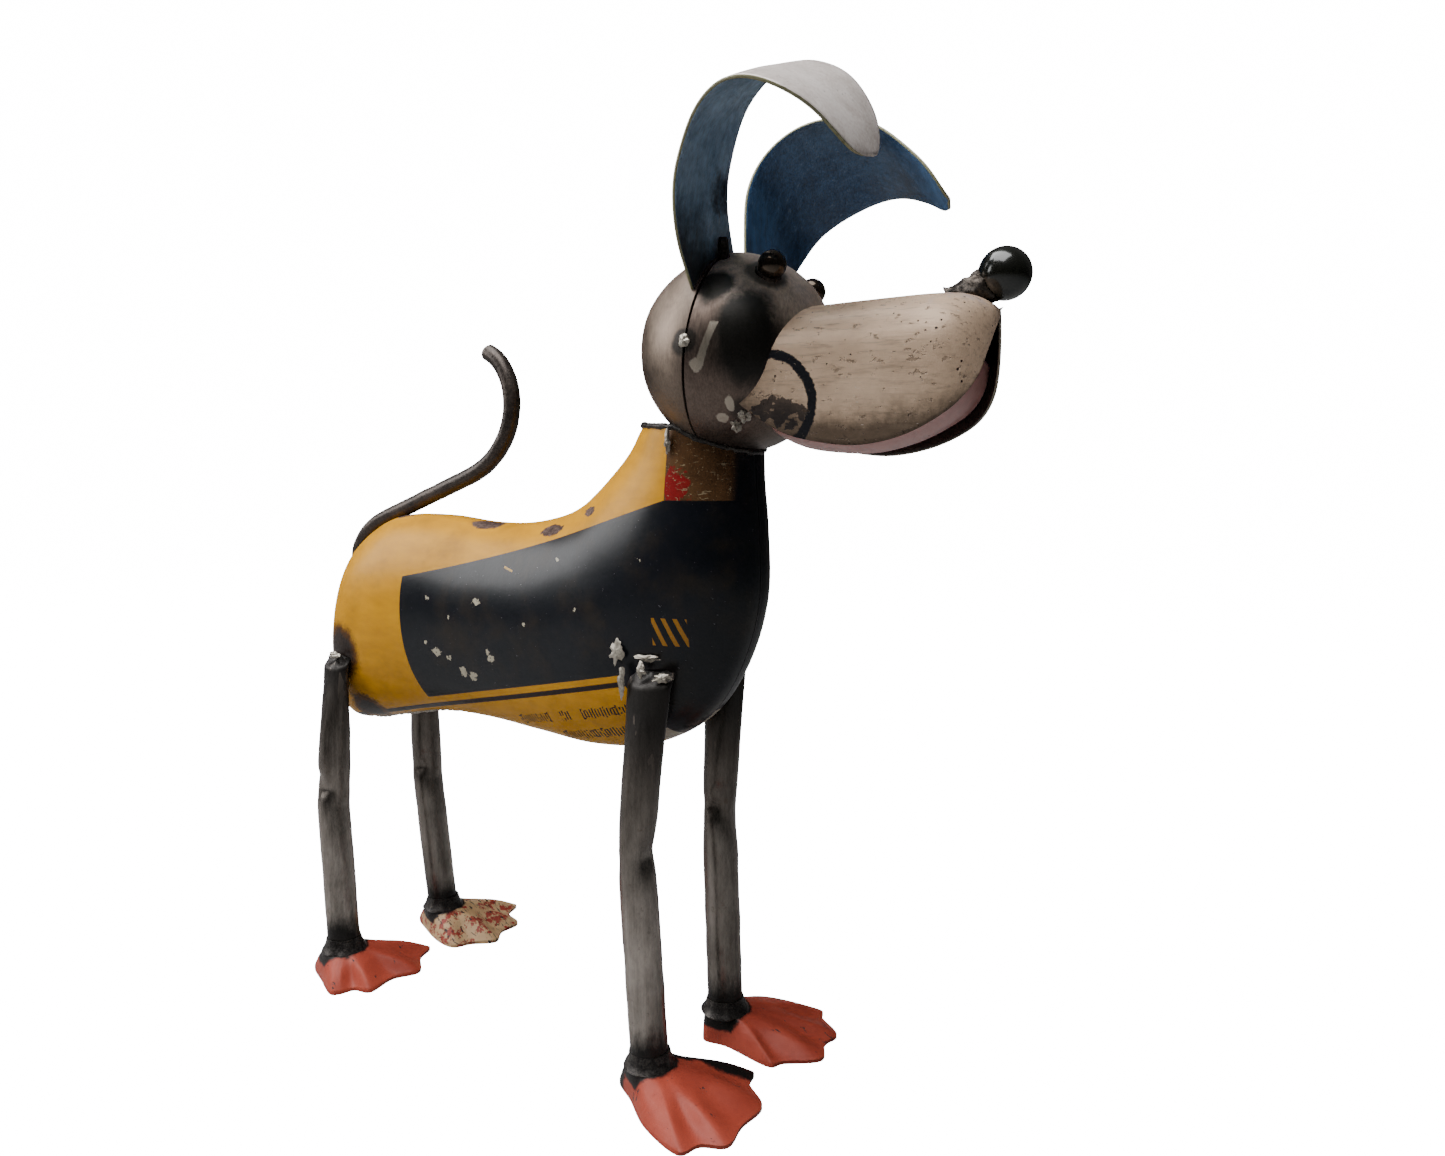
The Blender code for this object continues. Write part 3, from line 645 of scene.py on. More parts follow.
def snout_section(x, turn):
    """A point of the outside; turn 0 is the crest, pi / 2 the widest line, and more is below it."""
    width = math.copysign(snout_half_width(x), turn)
    arch = min(abs(turn), math.pi / 2)
    below = max(abs(turn) - math.pi / 2, 0)
    across = width * math.sin(arch) ** 0.9 * (1 - 0.1 * below * below)
    point = Vector((x, across, snout_crest(x) - SNOUT_ARCH * (1 - math.cos(arch) + below)))
    return point + Vector((0, across, 0)).normalized() * uneven(point, 0.02, 0.0004)


def snout_turn_at(x, height):
    drop = (snout_crest(x) - height) / SNOUT_ARCH
    return math.acos(1 - max(drop, 0)) if drop <= 1 else math.pi / 2 + drop - 1


def rim_at(x):
    """Height of the rim at a distance forward, from the smooth curve through its marks."""
    share = x / SNOUT_REACH
    low, high = 0.0, len(SNOUT_RIM) - 1.0
    for _ in range(24):
        middle = (low + high) / 2
        if through(SNOUT_RIM, middle)[0] < share:
            low = middle
        else:
            high = middle
    return through(SNOUT_RIM, low)[1] * SNOUT_REACH


def snout_sheet():
    rows = []
    for i in range(SNOUT_RINGS + 1):
        reach = math.sin(math.pi / 2 * i / SNOUT_RINGS) * SNOUT_FRONT_SHARE
        x = SNOUT_REAR + (SNOUT_REACH - SNOUT_REAR) * reach
        most = snout_turn_at(x, rim_at(x))
        shares = [2 * k / (SNOUT_POINTS - 1) - 1 for k in range(SNOUT_POINTS)]
        rows.append([snout_section(x, most * share) for share in shares])
    return surface("snout_sheet", rows)


def jaw_sheet():
    rows = []
    first, last = JAW_ROWS
    for i in range(JAW_RINGS + 1):
        share = i / JAW_RINGS
        position = first + (last - first) * share
        x, z = (value * SNOUT_REACH for value in through(SNOUT_RIM, position))
        ahead = [value * SNOUT_REACH for value in through(SNOUT_RIM, position + 0.01)]
        along = Vector((ahead[0] - x, 0, ahead[1] - z)).normalized()
        outward = Vector((along.z, 0, -along.x))
        edge = Vector((x, 0, z)) - outward * JAW_INSET
        outside = abs(snout_section(edge.x, snout_turn_at(edge.x, edge.z)).y)
        half = max(outside - 1.2 * SHEET - JAW_CLEARANCE, SHEET)
        row = []
        for k in range(JAW_POINTS):
            across = 2 * k / (JAW_POINTS - 1) - 1
            crown = outward * (JAW_INSET + JAW_DROP) * (1 - share) * (1 - across * across)
            row.append(edge + crown + Vector((0, half * across, 0)))
        rows.append(row)
    return surface("jaw_sheet", rows)


def as_sheet(piece, inner, rim):
    """Gives an open surface the thickness of sheet, with finishes for its inside and its cut edge."""
    wall = piece.modifiers.new("sheet", "SOLIDIFY")
    wall.thickness = SHEET
    wall.offset = -1
    wall.use_even_offset = True
    wall.material_offset = 1
    wall.material_offset_rim = 2
    piece.data.materials.append(inner)
    piece.data.materials.append(rim)


def taupe_paint(at):
    x, y, z = at.split()
    cloud = at.noise(45, 5, 0.65)
    colour = cloud.mix((0.36, 0.25, 0.168), (0.76, 0.56, 0.405))
    grain = at.scaled((0.12, 1.0, 1.0)).noise(620, 4, 0.7)
    colour = (grain.step(0.5, 0.72) * 0.38).mix(colour, (0.11, 0.08, 0.058))
    # painted shade along the lower rim, where the sheet faces down, laid over soot there
    rim = 0.0 - z - 0.0205 + abs(x - 0.048) * 0.25 + at.ragged(0.016, 110, 4, 0.7)
    colour = (rim.step(0.0, 0.012) * 0.8).mix(colour, (0.028, 0.019, 0.012))
    rear = (x + at.ragged(0.01, 160, 4, 0.7)).step(0.028, 0.022) * (z - 0.002).step(0.0, 0.006)
    colour = (rear * 0.6).mix(colour, (0.03, 0.023, 0.016))
    glint = (x - 0.052).step(0.0, 0.022) * (z - 0.006).step(0.0, 0.009)
    glint = glint * at.noise(130, 4, 0.7).step(0.45, 0.65)
    colour = (glint * 0.45).mix(colour, (0.46, 0.42, 0.5))
    side = (0.0 - y).step(0.01, 0.013)
    flat = at.scaled((1.0, 0.0, 1.0))
    ragged = at.ragged(0.0016, 420, 4, 0.7)
    arc = (abs(flat.distance((0.0208, 0.0, -0.02)) - 0.015) + ragged * 1.3).step(0.0018, 0.0013)
    blurred = at.ragged(0.014, 240, 3, 0.6)
    smudge = at.scaled((0.6, 0.0, 0.9)).near((0.0147, 0.0, -0.0207), blurred, 0.0044, 0.0036)
    printed = arc.most(smudge * 0.85) * side
    colour = printed.mix(colour, (0.012, 0.012, 0.015))
    pits = (at.cells(330) + at.noise(70, 3) * 0.45).step(0.34, 0.27)
    colour = pits.mix(colour, (0.035, 0.022, 0.014))
    nicks = (at.scaled((0.6, 1.0, 1.0)).noise(420, 3, 0.7) - 0.62).step(0.0, 0.05)
    colour = (nicks * 0.5).mix(colour, (0.085, 0.058, 0.04))
    scuff = (at.scaled((0.5, 1.0, 1.0)).noise(900, 2) - 0.72).step(0.0, 0.04)
    colour = (scuff * 0.5).mix(colour, (0.7, 0.62, 0.54))
    height = cloud * 2.0 + grain * 0.7 - nicks * 1.6 - pits * 1.2 - printed * 0.2
    return {
        "Base Color": colour,
        "Roughness": grain * 0.16 + cloud * 0.14 + 0.2,
        "Metallic": scuff * 0.4 + glint * 0.3 + 0.08,
        "Normal": height.bump(0.0002),
    }


def plain(grain, deep, pale, rough, metallic, depth):
    """A finish of one noise between two tones; the pairs weigh it and add to it."""
    return {
        "Base Color": grain.mix(deep, pale),
        "Roughness": grain * rough[0] + rough[1],
        "Metallic": grain * metallic[0] + metallic[1],
        "Normal": grain.bump(depth),
    }


def brown_inside(at):
    tones = (0.01, 0.006, 0.005), (0.045, 0.026, 0.02)
    return plain(at.noise(90, 5, 0.6), *tones, (0.3, 0.35), (0.2, 0.0), 0.0002)


def cut_edge(at):
    tones = (0.1, 0.085, 0.06), (0.36, 0.31, 0.24)
    return plain(at.noise(700, 3, 0.6), *tones, (0.2, 0.3), (0.3, 0.5), 0.0001)


def pink_paint(at):
    cloud = at.noise(70, 5, 0.6)
    fine = at.noise(600, 3, 0.6)
    specks = (at.cells(220) + at.noise(60, 2) * 0.4).step(0.22, 0.17)
    colour = cloud.mix((0.32, 0.135, 0.12), (0.6, 0.31, 0.28))
    return {
        "Base Color": specks.mix(colour, (0.1, 0.045, 0.04)),
        "Roughness": cloud * 0.2 + 0.2,
        "Metallic": specks * 0.2,
        "Normal": (cloud * 1.5 + fine * 0.3).bump(0.00012),
    }


taupe = finish_of("taupe_painted_sheet", taupe_paint, head_turn, Specular_IOR_Level=0.14)
brown = finish_of("brown_inside", brown_inside, head_turn)
edge_metal = finish_of("cut_sheet_edge", cut_edge, head_turn)
pink = finish_of("pink_painted_sheet", pink_paint, head_turn, Specular_IOR_Level=0.4)
snout = snout_sheet()
place_piece(snout, head_place, taupe, "taupe_paint", "snout")
as_sheet(snout, brown, edge_metal)
jaw = jaw_sheet()
place_piece(jaw, head_place, pink, "pink_paint", "lower_jaw")
as_sheet(jaw, pink, pink)


# Nose and eyes: steel balls, the nose painted a glossy black on a short stub ragged with weld
# metal, the eyes burnt to a dark bronze, each welded to the ball in a low black collar.

NOSE_DIAMETER = 0.0168
NOSE_PLACE = Vector((SNOUT_REACH + 0.0007, 0.0, 0.022))
NOSE_STEM_DIAMETER = 0.0112
NOSE_STEM_FOOT = Vector((SNOUT_REACH - 0.014, 0.0, 0.0132))
EYE_DIAMETER = 0.0094
EYE_BEARING = math.radians(46)
EYE_ELEVATION = math.radians(42)
EYE_STANDOFF = 0.003
EYE_SINK = 0.002
POLE_ANGLE = 0.02
BALL_STEPS = 40
STEM_STEPS = 24
# Distance along the line of sight and radius
EYE_COLLAR = (
    (0.0, 0.005), (0.0012, 0.0051), (0.0024, 0.0047), (0.0034, 0.0042), (0.004, 0.0034), (0.0042, 0.002),
)


def turned(name, profile, foot, toward, sides=48, rough=0.0, size=0.002):
    """A round piece from pairs of distance and radius along the line from foot toward a point."""
    aim = Matrix.Translation(foot) @ (toward - foot).to_track_quat("X", "Z").to_matrix().to_4x4()
    rows = []
    for x, radius in profile:
        row = []
        for first, second in circle(sides):
            point = aim @ Vector((x, radius * first, radius * second))
            out = (point - aim @ Vector((x, 0, 0))).normalized()
            row.append(point + out * min(uneven(point, size, rough), rough))
        rows.append(row)
    return surface(name, rows, closed=True, capped=True)


def ball_profile(middle, radius):
    """Pairs for a ball round a middle distance, from pole to pole."""
    span = math.pi - POLE_ANGLE - POLE_ANGLE
    angles = [POLE_ANGLE + span * i / BALL_STEPS for i in range(BALL_STEPS + 1)]
    return [(middle - radius * math.cos(angle), radius * math.sin(angle)) for angle in angles]


def black_gloss(at):
    cloud = at.noise(120, 4, 0.6)
    fine = at.noise(1500, 3, 0.6)
    return {
        "Base Color": (cloud * 0.6 + fine * 0.4).mix((0.002, 0.0025, 0.002), (0.013, 0.013, 0.009)),
        "Roughness": cloud * 0.14 + fine * 0.06 + 0.1,
        "Metallic": cloud * 0.4,
        "Normal": (cloud + fine * 0.2).bump(0.00008),
    }


def scaled_metal(cloud, fine, tone, tones, rough, metallic, relief):
    """Fire-scaled metal from two noises. tone, rough, metallic and relief weigh them; then come the
    tone's range, what is added, and the relief's depth."""
    return {
        "Base Color": (cloud * tone[0] + fine * tone[1]).step(tone[2], tone[3]).mix(*tones),
        "Roughness": cloud * rough[0] + fine * rough[1] + rough[2],
        "Metallic": cloud * metallic[0] + metallic[1],
        "Normal": (cloud + fine * relief[0]).bump(relief[1]),
    }


def burnt_steel(at):
    noises = at.noise(160, 4, 0.6), at.noise(900, 4, 0.7)
    tones = (0.01, 0.008, 0.007), (0.13, 0.105, 0.085)
    return scaled_metal(*noises, (0.5, 0.6, 0.35, 0.85), tones, (0, 0.3, 0.22), (0.3, 0.6), (1, 0.00018))


def eye_bronze(at):
    noises = at.noise(220, 4, 0.6), at.noise(1200, 3, 0.7)
    tones = (0.03, 0.023, 0.017), (0.12, 0.09, 0.066)
    rough = (0.08, 0.06, 0.1)
    return scaled_metal(*noises, (0.7, 0.4, 0.2, 0.95), tones, rough, (0.2, 0.8), (0.3, 0.00006))


gloss = finish_of("black_ball_gloss", black_gloss, Coat_Weight=0.4, Coat_Roughness=0.08)
burnt = finish_of("burnt_steel", burnt_steel)
bronze = finish_of("eye_bronze", eye_bronze)
reach = (NOSE_PLACE - NOSE_STEM_FOOT).length
nose_ball = turned("nose_ball", ball_profile(reach, NOSE_DIAMETER / 2), NOSE_STEM_FOOT, NOSE_PLACE, 72)
place_piece(nose_ball, head_place, gloss, "black_ball", "nose")
stem = NOSE_STEM_DIAMETER / 2
stem_profile = []
for i in range(19):
    flare = abs(1 - i / (STEM_STEPS / 2)) ** 3
    stem_profile.append((reach * i / STEM_STEPS - 0.001, stem * (1 + 0.25 * flare)))
nose_stub = turned("nose_stub", stem_profile, NOSE_STEM_FOOT, NOSE_PLACE, 40, 0.0011, 0.0022)
place_piece(nose_stub, head_place, burnt, "black_ball")
for word, side in (("right", -1), ("left", 1)):
    level = math.cos(EYE_ELEVATION)
    ahead, aside = level * math.cos(EYE_BEARING), side * level * math.sin(EYE_BEARING)
    look = Vector((ahead, aside, math.sin(EYE_ELEVATION)))
    foot = look * (HEAD_DIAMETER / 2 - EYE_SINK)
    middle = EYE_STANDOFF + EYE_SINK
    eye = turned(word + "_eye_ball", ball_profile(middle, EYE_DIAMETER / 2), foot, foot + look, 48)
    place_piece(eye, head_place, bronze, "dark_steel", word + "_eye")
    base = foot + Vector((-0.0008, side * -0.0004, -0.0008))
    ring = turned(word + "_eye_collar", EYE_COLLAR, base, base + look, 40, 0.0007, 0.0016)
    place_piece(ring, head_place, burnt, "dark_steel")


# Ears: two leaves of printed sheet, cut out by hand, bent upright, leaning outward and curled over
# forward. Their inner face is dark blue, painted paler on the right ear and streaked lighter on both
# as painted reflection, and their outer face pearly cream; the cut edge shows yellowish. Each foot
# is welded to the ball; a stud of welding rod is left on the right one.

EAR_LENGTH = 0.1199
EAR_RINGS = 88
EAR_POINTS = 25
EAR_FINE = 4
EAR_TIP = 0.14
EAR_BEND_SPAN = 0.9
EAR_SWAY_SPAN = 0.62
# Foot, lean outward, heading at the foot, curl, straight share, turn about its own height, skew,
# sway to the outside and back
RIGHT_EAR = ((-0.0035, 0.0157, 0.0231), 26.8, 4.7, 163.6, 0.172, -4.4, 0.295, 0.0044)
LEFT_EAR = ((0.0006, 0.0168, 0.0253), 23.5, -7.0, 149.1, 0.053, 6.1, 0.239, 0.0002)
# Half-width at even steps from the foot up to the rounded tip
RIGHT_EAR_LEAF = (0.0157, 0.0188, 0.0217, 0.0223, 0.0143)
LEFT_EAR_LEAF = (0.014, 0.0228, 0.0243, 0.0177, 0.0092)


def smooth_step(share):
    share = min(max(share, 0.0), 1.0)
    return share * share * (3 - 2 * share)


def ear_leaf(name, side, bends, leaf):
    """The leaf's middle surface, from its foot to its tip."""
    (foot_x, foot_y, foot_z), lean, start, curl, straight, toe, skew, sway = bends
    lean, start, curl, toe = (math.radians(angle) for angle in (lean, start, curl, toe))
    up = Vector((0, side * math.sin(lean), math.cos(lean)))
    outward = Vector((0, side * math.cos(lean), -math.sin(lean)))
    across = outward * math.cos(toe) + Vector((math.sin(toe), 0, 0))
    forward = Vector((math.cos(toe), 0, 0)) - outward * math.sin(toe)
    centre = Vector((foot_x, side * foot_y, foot_z))
    steps = EAR_FINE * EAR_RINGS
    rows = []
    for step in range(steps + 1):
        share = step / steps
        bend = start + curl * smooth_step((share - straight) / EAR_BEND_SPAN)
        if step % EAR_FINE == 0:
            half = through([(value,) for value in leaf], share * (len(leaf) - 1))[0]
            into_tip = max(0.0, (share - 1 + EAR_TIP) / EAR_TIP)
            half = max(half * math.sqrt(1 - into_tip ** 3), 2 * SHEET)
            face = up * -math.sin(bend) + forward * math.cos(bend)
            aside = skew * share * half + sway * math.sin(2 * math.pi * min(share / EAR_SWAY_SPAN, 1))
            row = []
            for k in range(EAR_POINTS):
                spread = 2 * k / (EAR_POINTS - 1) - 1
                point = centre + across * (half * spread + aside)
                row.append(point + face * (uneven(point, 0.018, 0.0007) - 0.0006 * (1 - spread * spread)))
            rows.append(row)
        centre = centre + (up * math.cos(bend) + forward * math.sin(bend)) * EAR_LENGTH / steps
    return surface(name, rows)


def ear_blue(at):
    _, y, z = at.split()
    near = (0.0 - y).step(-0.002, 0.002)
    cloud = at.noise(60, 5, 0.65)
    streak = at.scaled((1.0, 1.0, 0.2)).noise(480, 4, 0.7)
    tone = (cloud * 0.7 + streak * 0.4 - 0.05).step(0.2, 0.8)
    # painted reflection: the right ear, where near is 1, gets a much paler copy of the blue than the left
    deep = near.mix((0.004, 0.02, 0.066), (0.07, 0.13, 0.215))
    pale = near.mix((0.08, 0.18, 0.36), (0.38, 0.52, 0.68))
    colour = tone.mix(deep, pale)
    tip = (z - 0.07).step(0.0, 0.022) * (1 - near)
    colour = (tip * 0.45).mix(colour, (0.16, 0.22, 0.27))
    foot = (z + (cloud - 0.5) * 0.02).step(0.042, 0.024)
    foot = foot.most((at.distance((0.008, -0.019, 0.05)) + (cloud - 0.5) * 0.016).step(0.012, 0.007))
    colour = (foot * 0.85).mix(colour, (0.02, 0.014, 0.012))
    # painted reflection: light streaks across the blue
    streak_sheen = (streak - 0.62).step(0.0, 0.08)
    colour = (streak_sheen * 0.35).mix(colour, (0.32, 0.36, 0.4))
    return {
        "Base Color": colour,
        "Roughness": cloud * 0.2 + streak * 0.14 + 0.18,
        "Metallic": foot * 0.5,
        "Normal": (cloud * 2.0 + streak * 0.4).bump(0.00018),
    }


def ear_cream(at):
    z = at.split()[2]
    cloud = at.noise(70, 5, 0.65)
    fine = at.noise(900, 4, 0.7)
    colour = (cloud * 0.6 + fine * 0.5).step(0.25, 0.75).mix((0.46, 0.385, 0.345), (0.86, 0.79, 0.75))
    specks = (at.cells(420) + at.noise(90, 2) * 0.4).step(0.3, 0.22)
    colour = (specks * 0.7).mix(colour, (0.16, 0.12, 0.095))
    foot = (z + (cloud - 0.5) * 0.02).step(0.056, 0.03)
    colour = (foot * 0.7).mix(colour, (0.06, 0.05, 0.045))
    return {
        "Base Color": colour,
        "Roughness": cloud * 0.2 + fine * 0.14 + 0.16,
        "Metallic": fine * 0.25,
        "Normal": (cloud * 1.5 + fine * 0.5).bump(0.00016),
    }


def ear_edge(at):
    tones = (0.085, 0.08, 0.035), (0.34, 0.33, 0.19)
    return plain(at.noise(600, 3, 0.6), *tones, (0.2, 0.3), (0.3, 0.0), 0.0001)


blue = finish_of("blue_sheet_inside", ear_blue, head_turn, Specular_IOR_Level=0.45)
cream = finish_of("cream_sheet_outside", ear_cream, head_turn, Specular_IOR_Level=0.5)
yellowish = finish_of("ear_cut_edge", ear_edge, head_turn)
for word, side, bends, leaf in (
    ("right", -1, RIGHT_EAR, RIGHT_EAR_LEAF),
    ("left", 1, LEFT_EAR, LEFT_EAR_LEAF),
):
    ear = ear_leaf(word + "_ear_leaf", side, bends, leaf)
    place_piece(ear, head_place, cream, "blue_paint", word + "_ear")
    as_sheet(ear, blue, yellowish)
stud_foot = Vector((0.0008, -0.0172, 0.028))
stud_profile = [(0.0, 0.0021), (0.004, 0.0019), (0.0066, 0.0018), (0.0074, 0.0013)]
stud_top = stud_foot + Vector((0.0, -0.001, 0.006))
stud = turned("ear_stud", stud_profile, stud_foot, stud_top, 24, 0.0002, 0.002)
place_piece(stud, head_place, burnt, "dark_steel")


# Tail: a length of dark rod, welded up the rear of the rump, bent forward over it and swept up
# into a hook. Its skin is scaled from the fire and its end is sawn off square.

ROD_DIAMETER = 0.007
TAIL_LENGTH = 0.1584
TAIL_HUG = (0.9, 1.8)
TAIL_BITE = 0.0003
TAIL_FIRST_HEADING = math.radians(89)
TAIL_LOW_HEADING = math.radians(19)
TAIL_SWEEP = math.radians(139)
TAIL_EASE = 0.233
TAIL_STRAIGHT = 0.545
TAIL_STEPS = 28
HUG_STEPS = 3
ROD_SIDES = 28
ROD_FINE = 6


def tail_path():
    off = ROD_DIAMETER / 2 - TAIL_BITE
    path = []
    low, high = TAIL_HUG
    for i in range(HUG_STEPS + 1):
        position = low + (high - low) * i / HUG_STEPS
        spine = body_section(position)[0]
        along = (body_section(position + 0.05)[0] - spine).normalized()
        path.append(spine + Vector((-along.z, 0, along.x)) * off)
    for i in range(1, TAIL_STEPS + 1):
        share = (i - 0.5) / TAIL_STEPS
        easing = max(0.0, 1 - share / TAIL_EASE) ** 2
        turn = max(0.0, (share - TAIL_STRAIGHT) / (1 - TAIL_STRAIGHT)) ** 1.5
        heading = TAIL_LOW_HEADING + (TAIL_FIRST_HEADING - TAIL_LOW_HEADING) * easing + TAIL_SWEEP * turn
        path.append(path[-1] + Vector((math.cos(heading), 0, math.sin(heading))) * TAIL_LENGTH / TAIL_STEPS)
    return path


def rod(name, path, radius):
    """A round bar along a path in the middle plane, with softened ends."""
    last = len(path) - 1
    rows = []
    for i in range(last * ROD_FINE + 1):
        position = i / ROD_FINE
        point = Vector(through([tuple(p) for p in path], position))
        ahead = Vector(through([tuple(p) for p in path], min(position + 0.02, last)))
        behind = Vector(through([tuple(p) for p in path], max(position - 0.02, 0)))
        along = (ahead - behind).normalized()
        normal = Vector((-along.z, 0, along.x))
        here = radius * (0.9 if i in (0, last * ROD_FINE) else 1.0)
        row = []
        for upward, level in circle(ROD_SIDES):
            out = normal * upward + Vector((0, level, 0))
            row.append(point + out * (here + uneven(point + out * radius, 0.006, 0.00012)))
        rows.append(row)
    return surface(name, rows, closed=True, capped=True)


def scaled_rod(at):
    noises = at.noise(70, 5, 0.65), at.noise(700, 4, 0.7)
    tones = (0.012, 0.009, 0.008), (0.085, 0.068, 0.058)
    rough = (0.22, 0.16, 0.2)
    return scaled_metal(*noises, (0.6, 0.5, 0.3, 0.8), tones, rough, (0.3, 0.55), (0.6, 0.00016))


rod_steel = finish_of("tail_rod_steel", scaled_rod)
place_piece(rod("tail_rod", tail_path(), ROD_DIAMETER / 2), stand, rod_steel, "dark_steel", "tail")


# Legs: four steel tubes, brushed bright along their middle and blackened at both ends. Each is
# kinked and dented at the knee, hammered flat at the top and welded to the body's side.

TUBE_DIAMETER = 0.014
LEG_BITE = 0.0012
FLAT_THICKNESS = 0.0062
FLAT_REACH = 0.052
KNEE_SPAN = 0.01
TOP_CLOSING = 0.007
LEG_RINGS = 110
LEG_SIDES = 56
PAW_HEIGHT = 0.0125
# Ankle x and y, knee x, y and z, top x and z, pinch at the knee, width of the flattened top. Every
# x is a share of the body's length
FRONT_LEGS = (0.3636, 0.0242, 0.3458, 0.0261, 0.0922, 0.3669, 0.1582, 0.18, 0.019)
HIND_LEGS = (-0.3678, 0.0286, -0.3949, 0.0268, 0.0772, -0.3856, 0.1452, 0.06, 0.0152)


def flank(x, z):
    """Half-width of the body beside the middle-plane point x, z."""
    point = Vector((x, 0, z))
    best = None
    for step in range(4 * (len(BODY_SECTIONS) - 1) + 1):
        spine, belly, width = body_section(step / 4)
        upright = (spine - belly) / 2
        away = point - (spine + belly) / 2
        height = away.dot(upright) / upright.length_squared
        miss = (away - upright * height).length
        if best is None or miss < best[0]:
            best = miss, width * max(0.0, 1 - height * height) ** (BODY_ROUNDNESS / 2)
    return best[1]


def leg_tube(name, pair, side, dents):
    """Each dent is its height, the bearing it faces, its depth and its reach up and down."""
    ankle_x, ankle_y, knee_x, knee_y, knee_z, top_x, top_z, pinch, flat_width = pair
    ankle_x, knee_x, top_x = (x * BODY_LENGTH for x in (ankle_x, knee_x, top_x))
    top_y = flank(top_x, top_z) + FLAT_THICKNESS / 2 - LEG_BITE
    foot = PAW_HEIGHT - 0.001
    rows = []
    for i in range(LEG_RINGS + 1):
        height = foot + (top_z - foot) * i / LEG_RINGS
        if height < knee_z:
            share = (height - PAW_HEIGHT) / (knee_z - PAW_HEIGHT)
            x, y = ankle_x + (knee_x - ankle_x) * share, ankle_y + (knee_y - ankle_y) * share
        else:
            share = (height - knee_z) / (top_z - knee_z)
            x, y = knee_x + (top_x - knee_x) * share, knee_y + (top_y - knee_y) * share
        flat = smooth_step((height - top_z + FLAT_REACH) / FLAT_REACH)
        dent = pinch * math.exp(-(((height - knee_z) / KNEE_SPAN) ** 2))
        length = (TUBE_DIAMETER + (flat_width - TUBE_DIAMETER) * flat) * (1 - dent) / 2
        width = (TUBE_DIAMETER + (FLAT_THICKNESS - TUBE_DIAMETER) * flat) * (1 + dent / 2) / 2
        closing = smooth_step((height - top_z + TOP_CLOSING) / TOP_CLOSING)
        width *= 1 - 0.62 * closing
        y -= FLAT_THICKNESS * 0.3 * closing
        row = []
        for k in range(LEG_SIDES):
            turn = 2 * math.pi * k / LEG_SIDES
            out = Vector((length * math.cos(turn), width * math.sin(turn), 0))
            inward = 0.0
            for dent_z, bearing, depth, reach_z in dents:
                facing = max(0.0, math.cos(turn - math.radians(bearing)))
                inward += depth * facing ** 3 * math.exp(-abs((height - dent_z) / reach_z) ** 1.6)
            ragged = Vector((math.cos(turn) * 2.5, side, top_x * 70))
            point = Vector((x, side * y, height - closing * 0.0024 * (0.5 + noise.noise(ragged)))) + out
            row.append(point + out.normalized() * (uneven(point, 0.009, 0.00022) - inward))
        rows.append(row)
    return surface(name, rows, closed=True, capped=True)


def tube_steel(at):
    _, y, z = at.split()
    streak = at.scaled((1.0, 1.0, 0.04)).noise(700, 3, 0.6)
    cloud = at.scaled((1.0, 1.0, 0.4)).noise(80, 5, 0.7)
    tone = (streak * 0.36 + cloud * 0.8 - 0.08).step(0.12, 0.88)
    bright = z.step(0.13, 0.05)
    deep = bright.mix((0.035, 0.029, 0.025), (0.09, 0.076, 0.064))
    pale = bright.mix((0.19, 0.165, 0.145), (0.52, 0.465, 0.42))
    # painted shade: the legs on the left side, away from the lights, are darkened
    colour = (y.step(-0.002, 0.002) * 0.4).mix(tone.mix(deep, pale), (0.03, 0.024, 0.02))
    ragged = (cloud - 0.5) * 0.02
    foot = (z + ragged).step(0.031, 0.019)
    head = (z + ragged).step(0.108, 0.143) * 0.96
    stain = foot.most(head)
    colour = stain.mix(colour, (0.01, 0.008, 0.007))
    rust = ((at.noise(240, 4, 0.7) - 0.62).step(0.0, 0.06) * (1 - stain)) * 0.3
    scratch = (at.scaled((1.0, 1.0, 0.22)).noise(260, 2, 0.5, 0.8) - 0.66).step(0.0, 0.02) * head
    colour = (scratch * 0.5).mix(colour, (0.16, 0.13, 0.11))
    return {
        "Base Color": rust.mix(colour, (0.075, 0.045, 0.028)),
        "Roughness": streak * 0.16 + cloud * 0.12 + stain * 0.08 + 0.18,
        "Metallic": 1.0 - stain * 0.4,
        "Normal": (streak * 0.35 + cloud * 1.2).bump(0.0001),
    }


leg_metal = finish_of("leg_tube_steel", tube_steel)
LEGS = (
    ("front_right", FRONT_LEGS, -1, ((0.0905, 10, 0.0016, 0.0045), (0.0905, 190, 0.0012, 0.006))),
    ("front_left", FRONT_LEGS, 1, ((0.096, -80, 0.0026, 0.0042), (0.103, -50, 0.0014, 0.004))),
    ("hind_right", HIND_LEGS, -1, ((0.085, -75, 0.0024, 0.0042), (0.0905, -110, 0.001, 0.003))),
    ("hind_left", HIND_LEGS, 1, ((0.083, -75, 0.0026, 0.0042), (0.089, -40, 0.0012, 0.0034))),
)
for word, pair, side, dents in LEGS:
    place_piece(leg_tube(word + "_tube", pair, side, dents), stand, leg_metal, "leg_steel", word + "_leg")


# Paws: four plates cut with toes and pressed into a ridge for each, domed up to the ankle. Three
# are red, one is cream over red and badly scratched. Each is welded round its leg, and the soot
# of that weld lies round the ankle, on the front right one also along its inner edge.

FRONT_PAW_LENGTH = 0.0575
HIND_PAW_LENGTH = 0.0495
PAW_EDGE = 0.0014
PAW_GROOVE = 0.0016
PAW_SMOOTHING = 10
SEAT_MARGIN = 0.0012
PAW_RINGS = 24
NO_LINE = 0.08
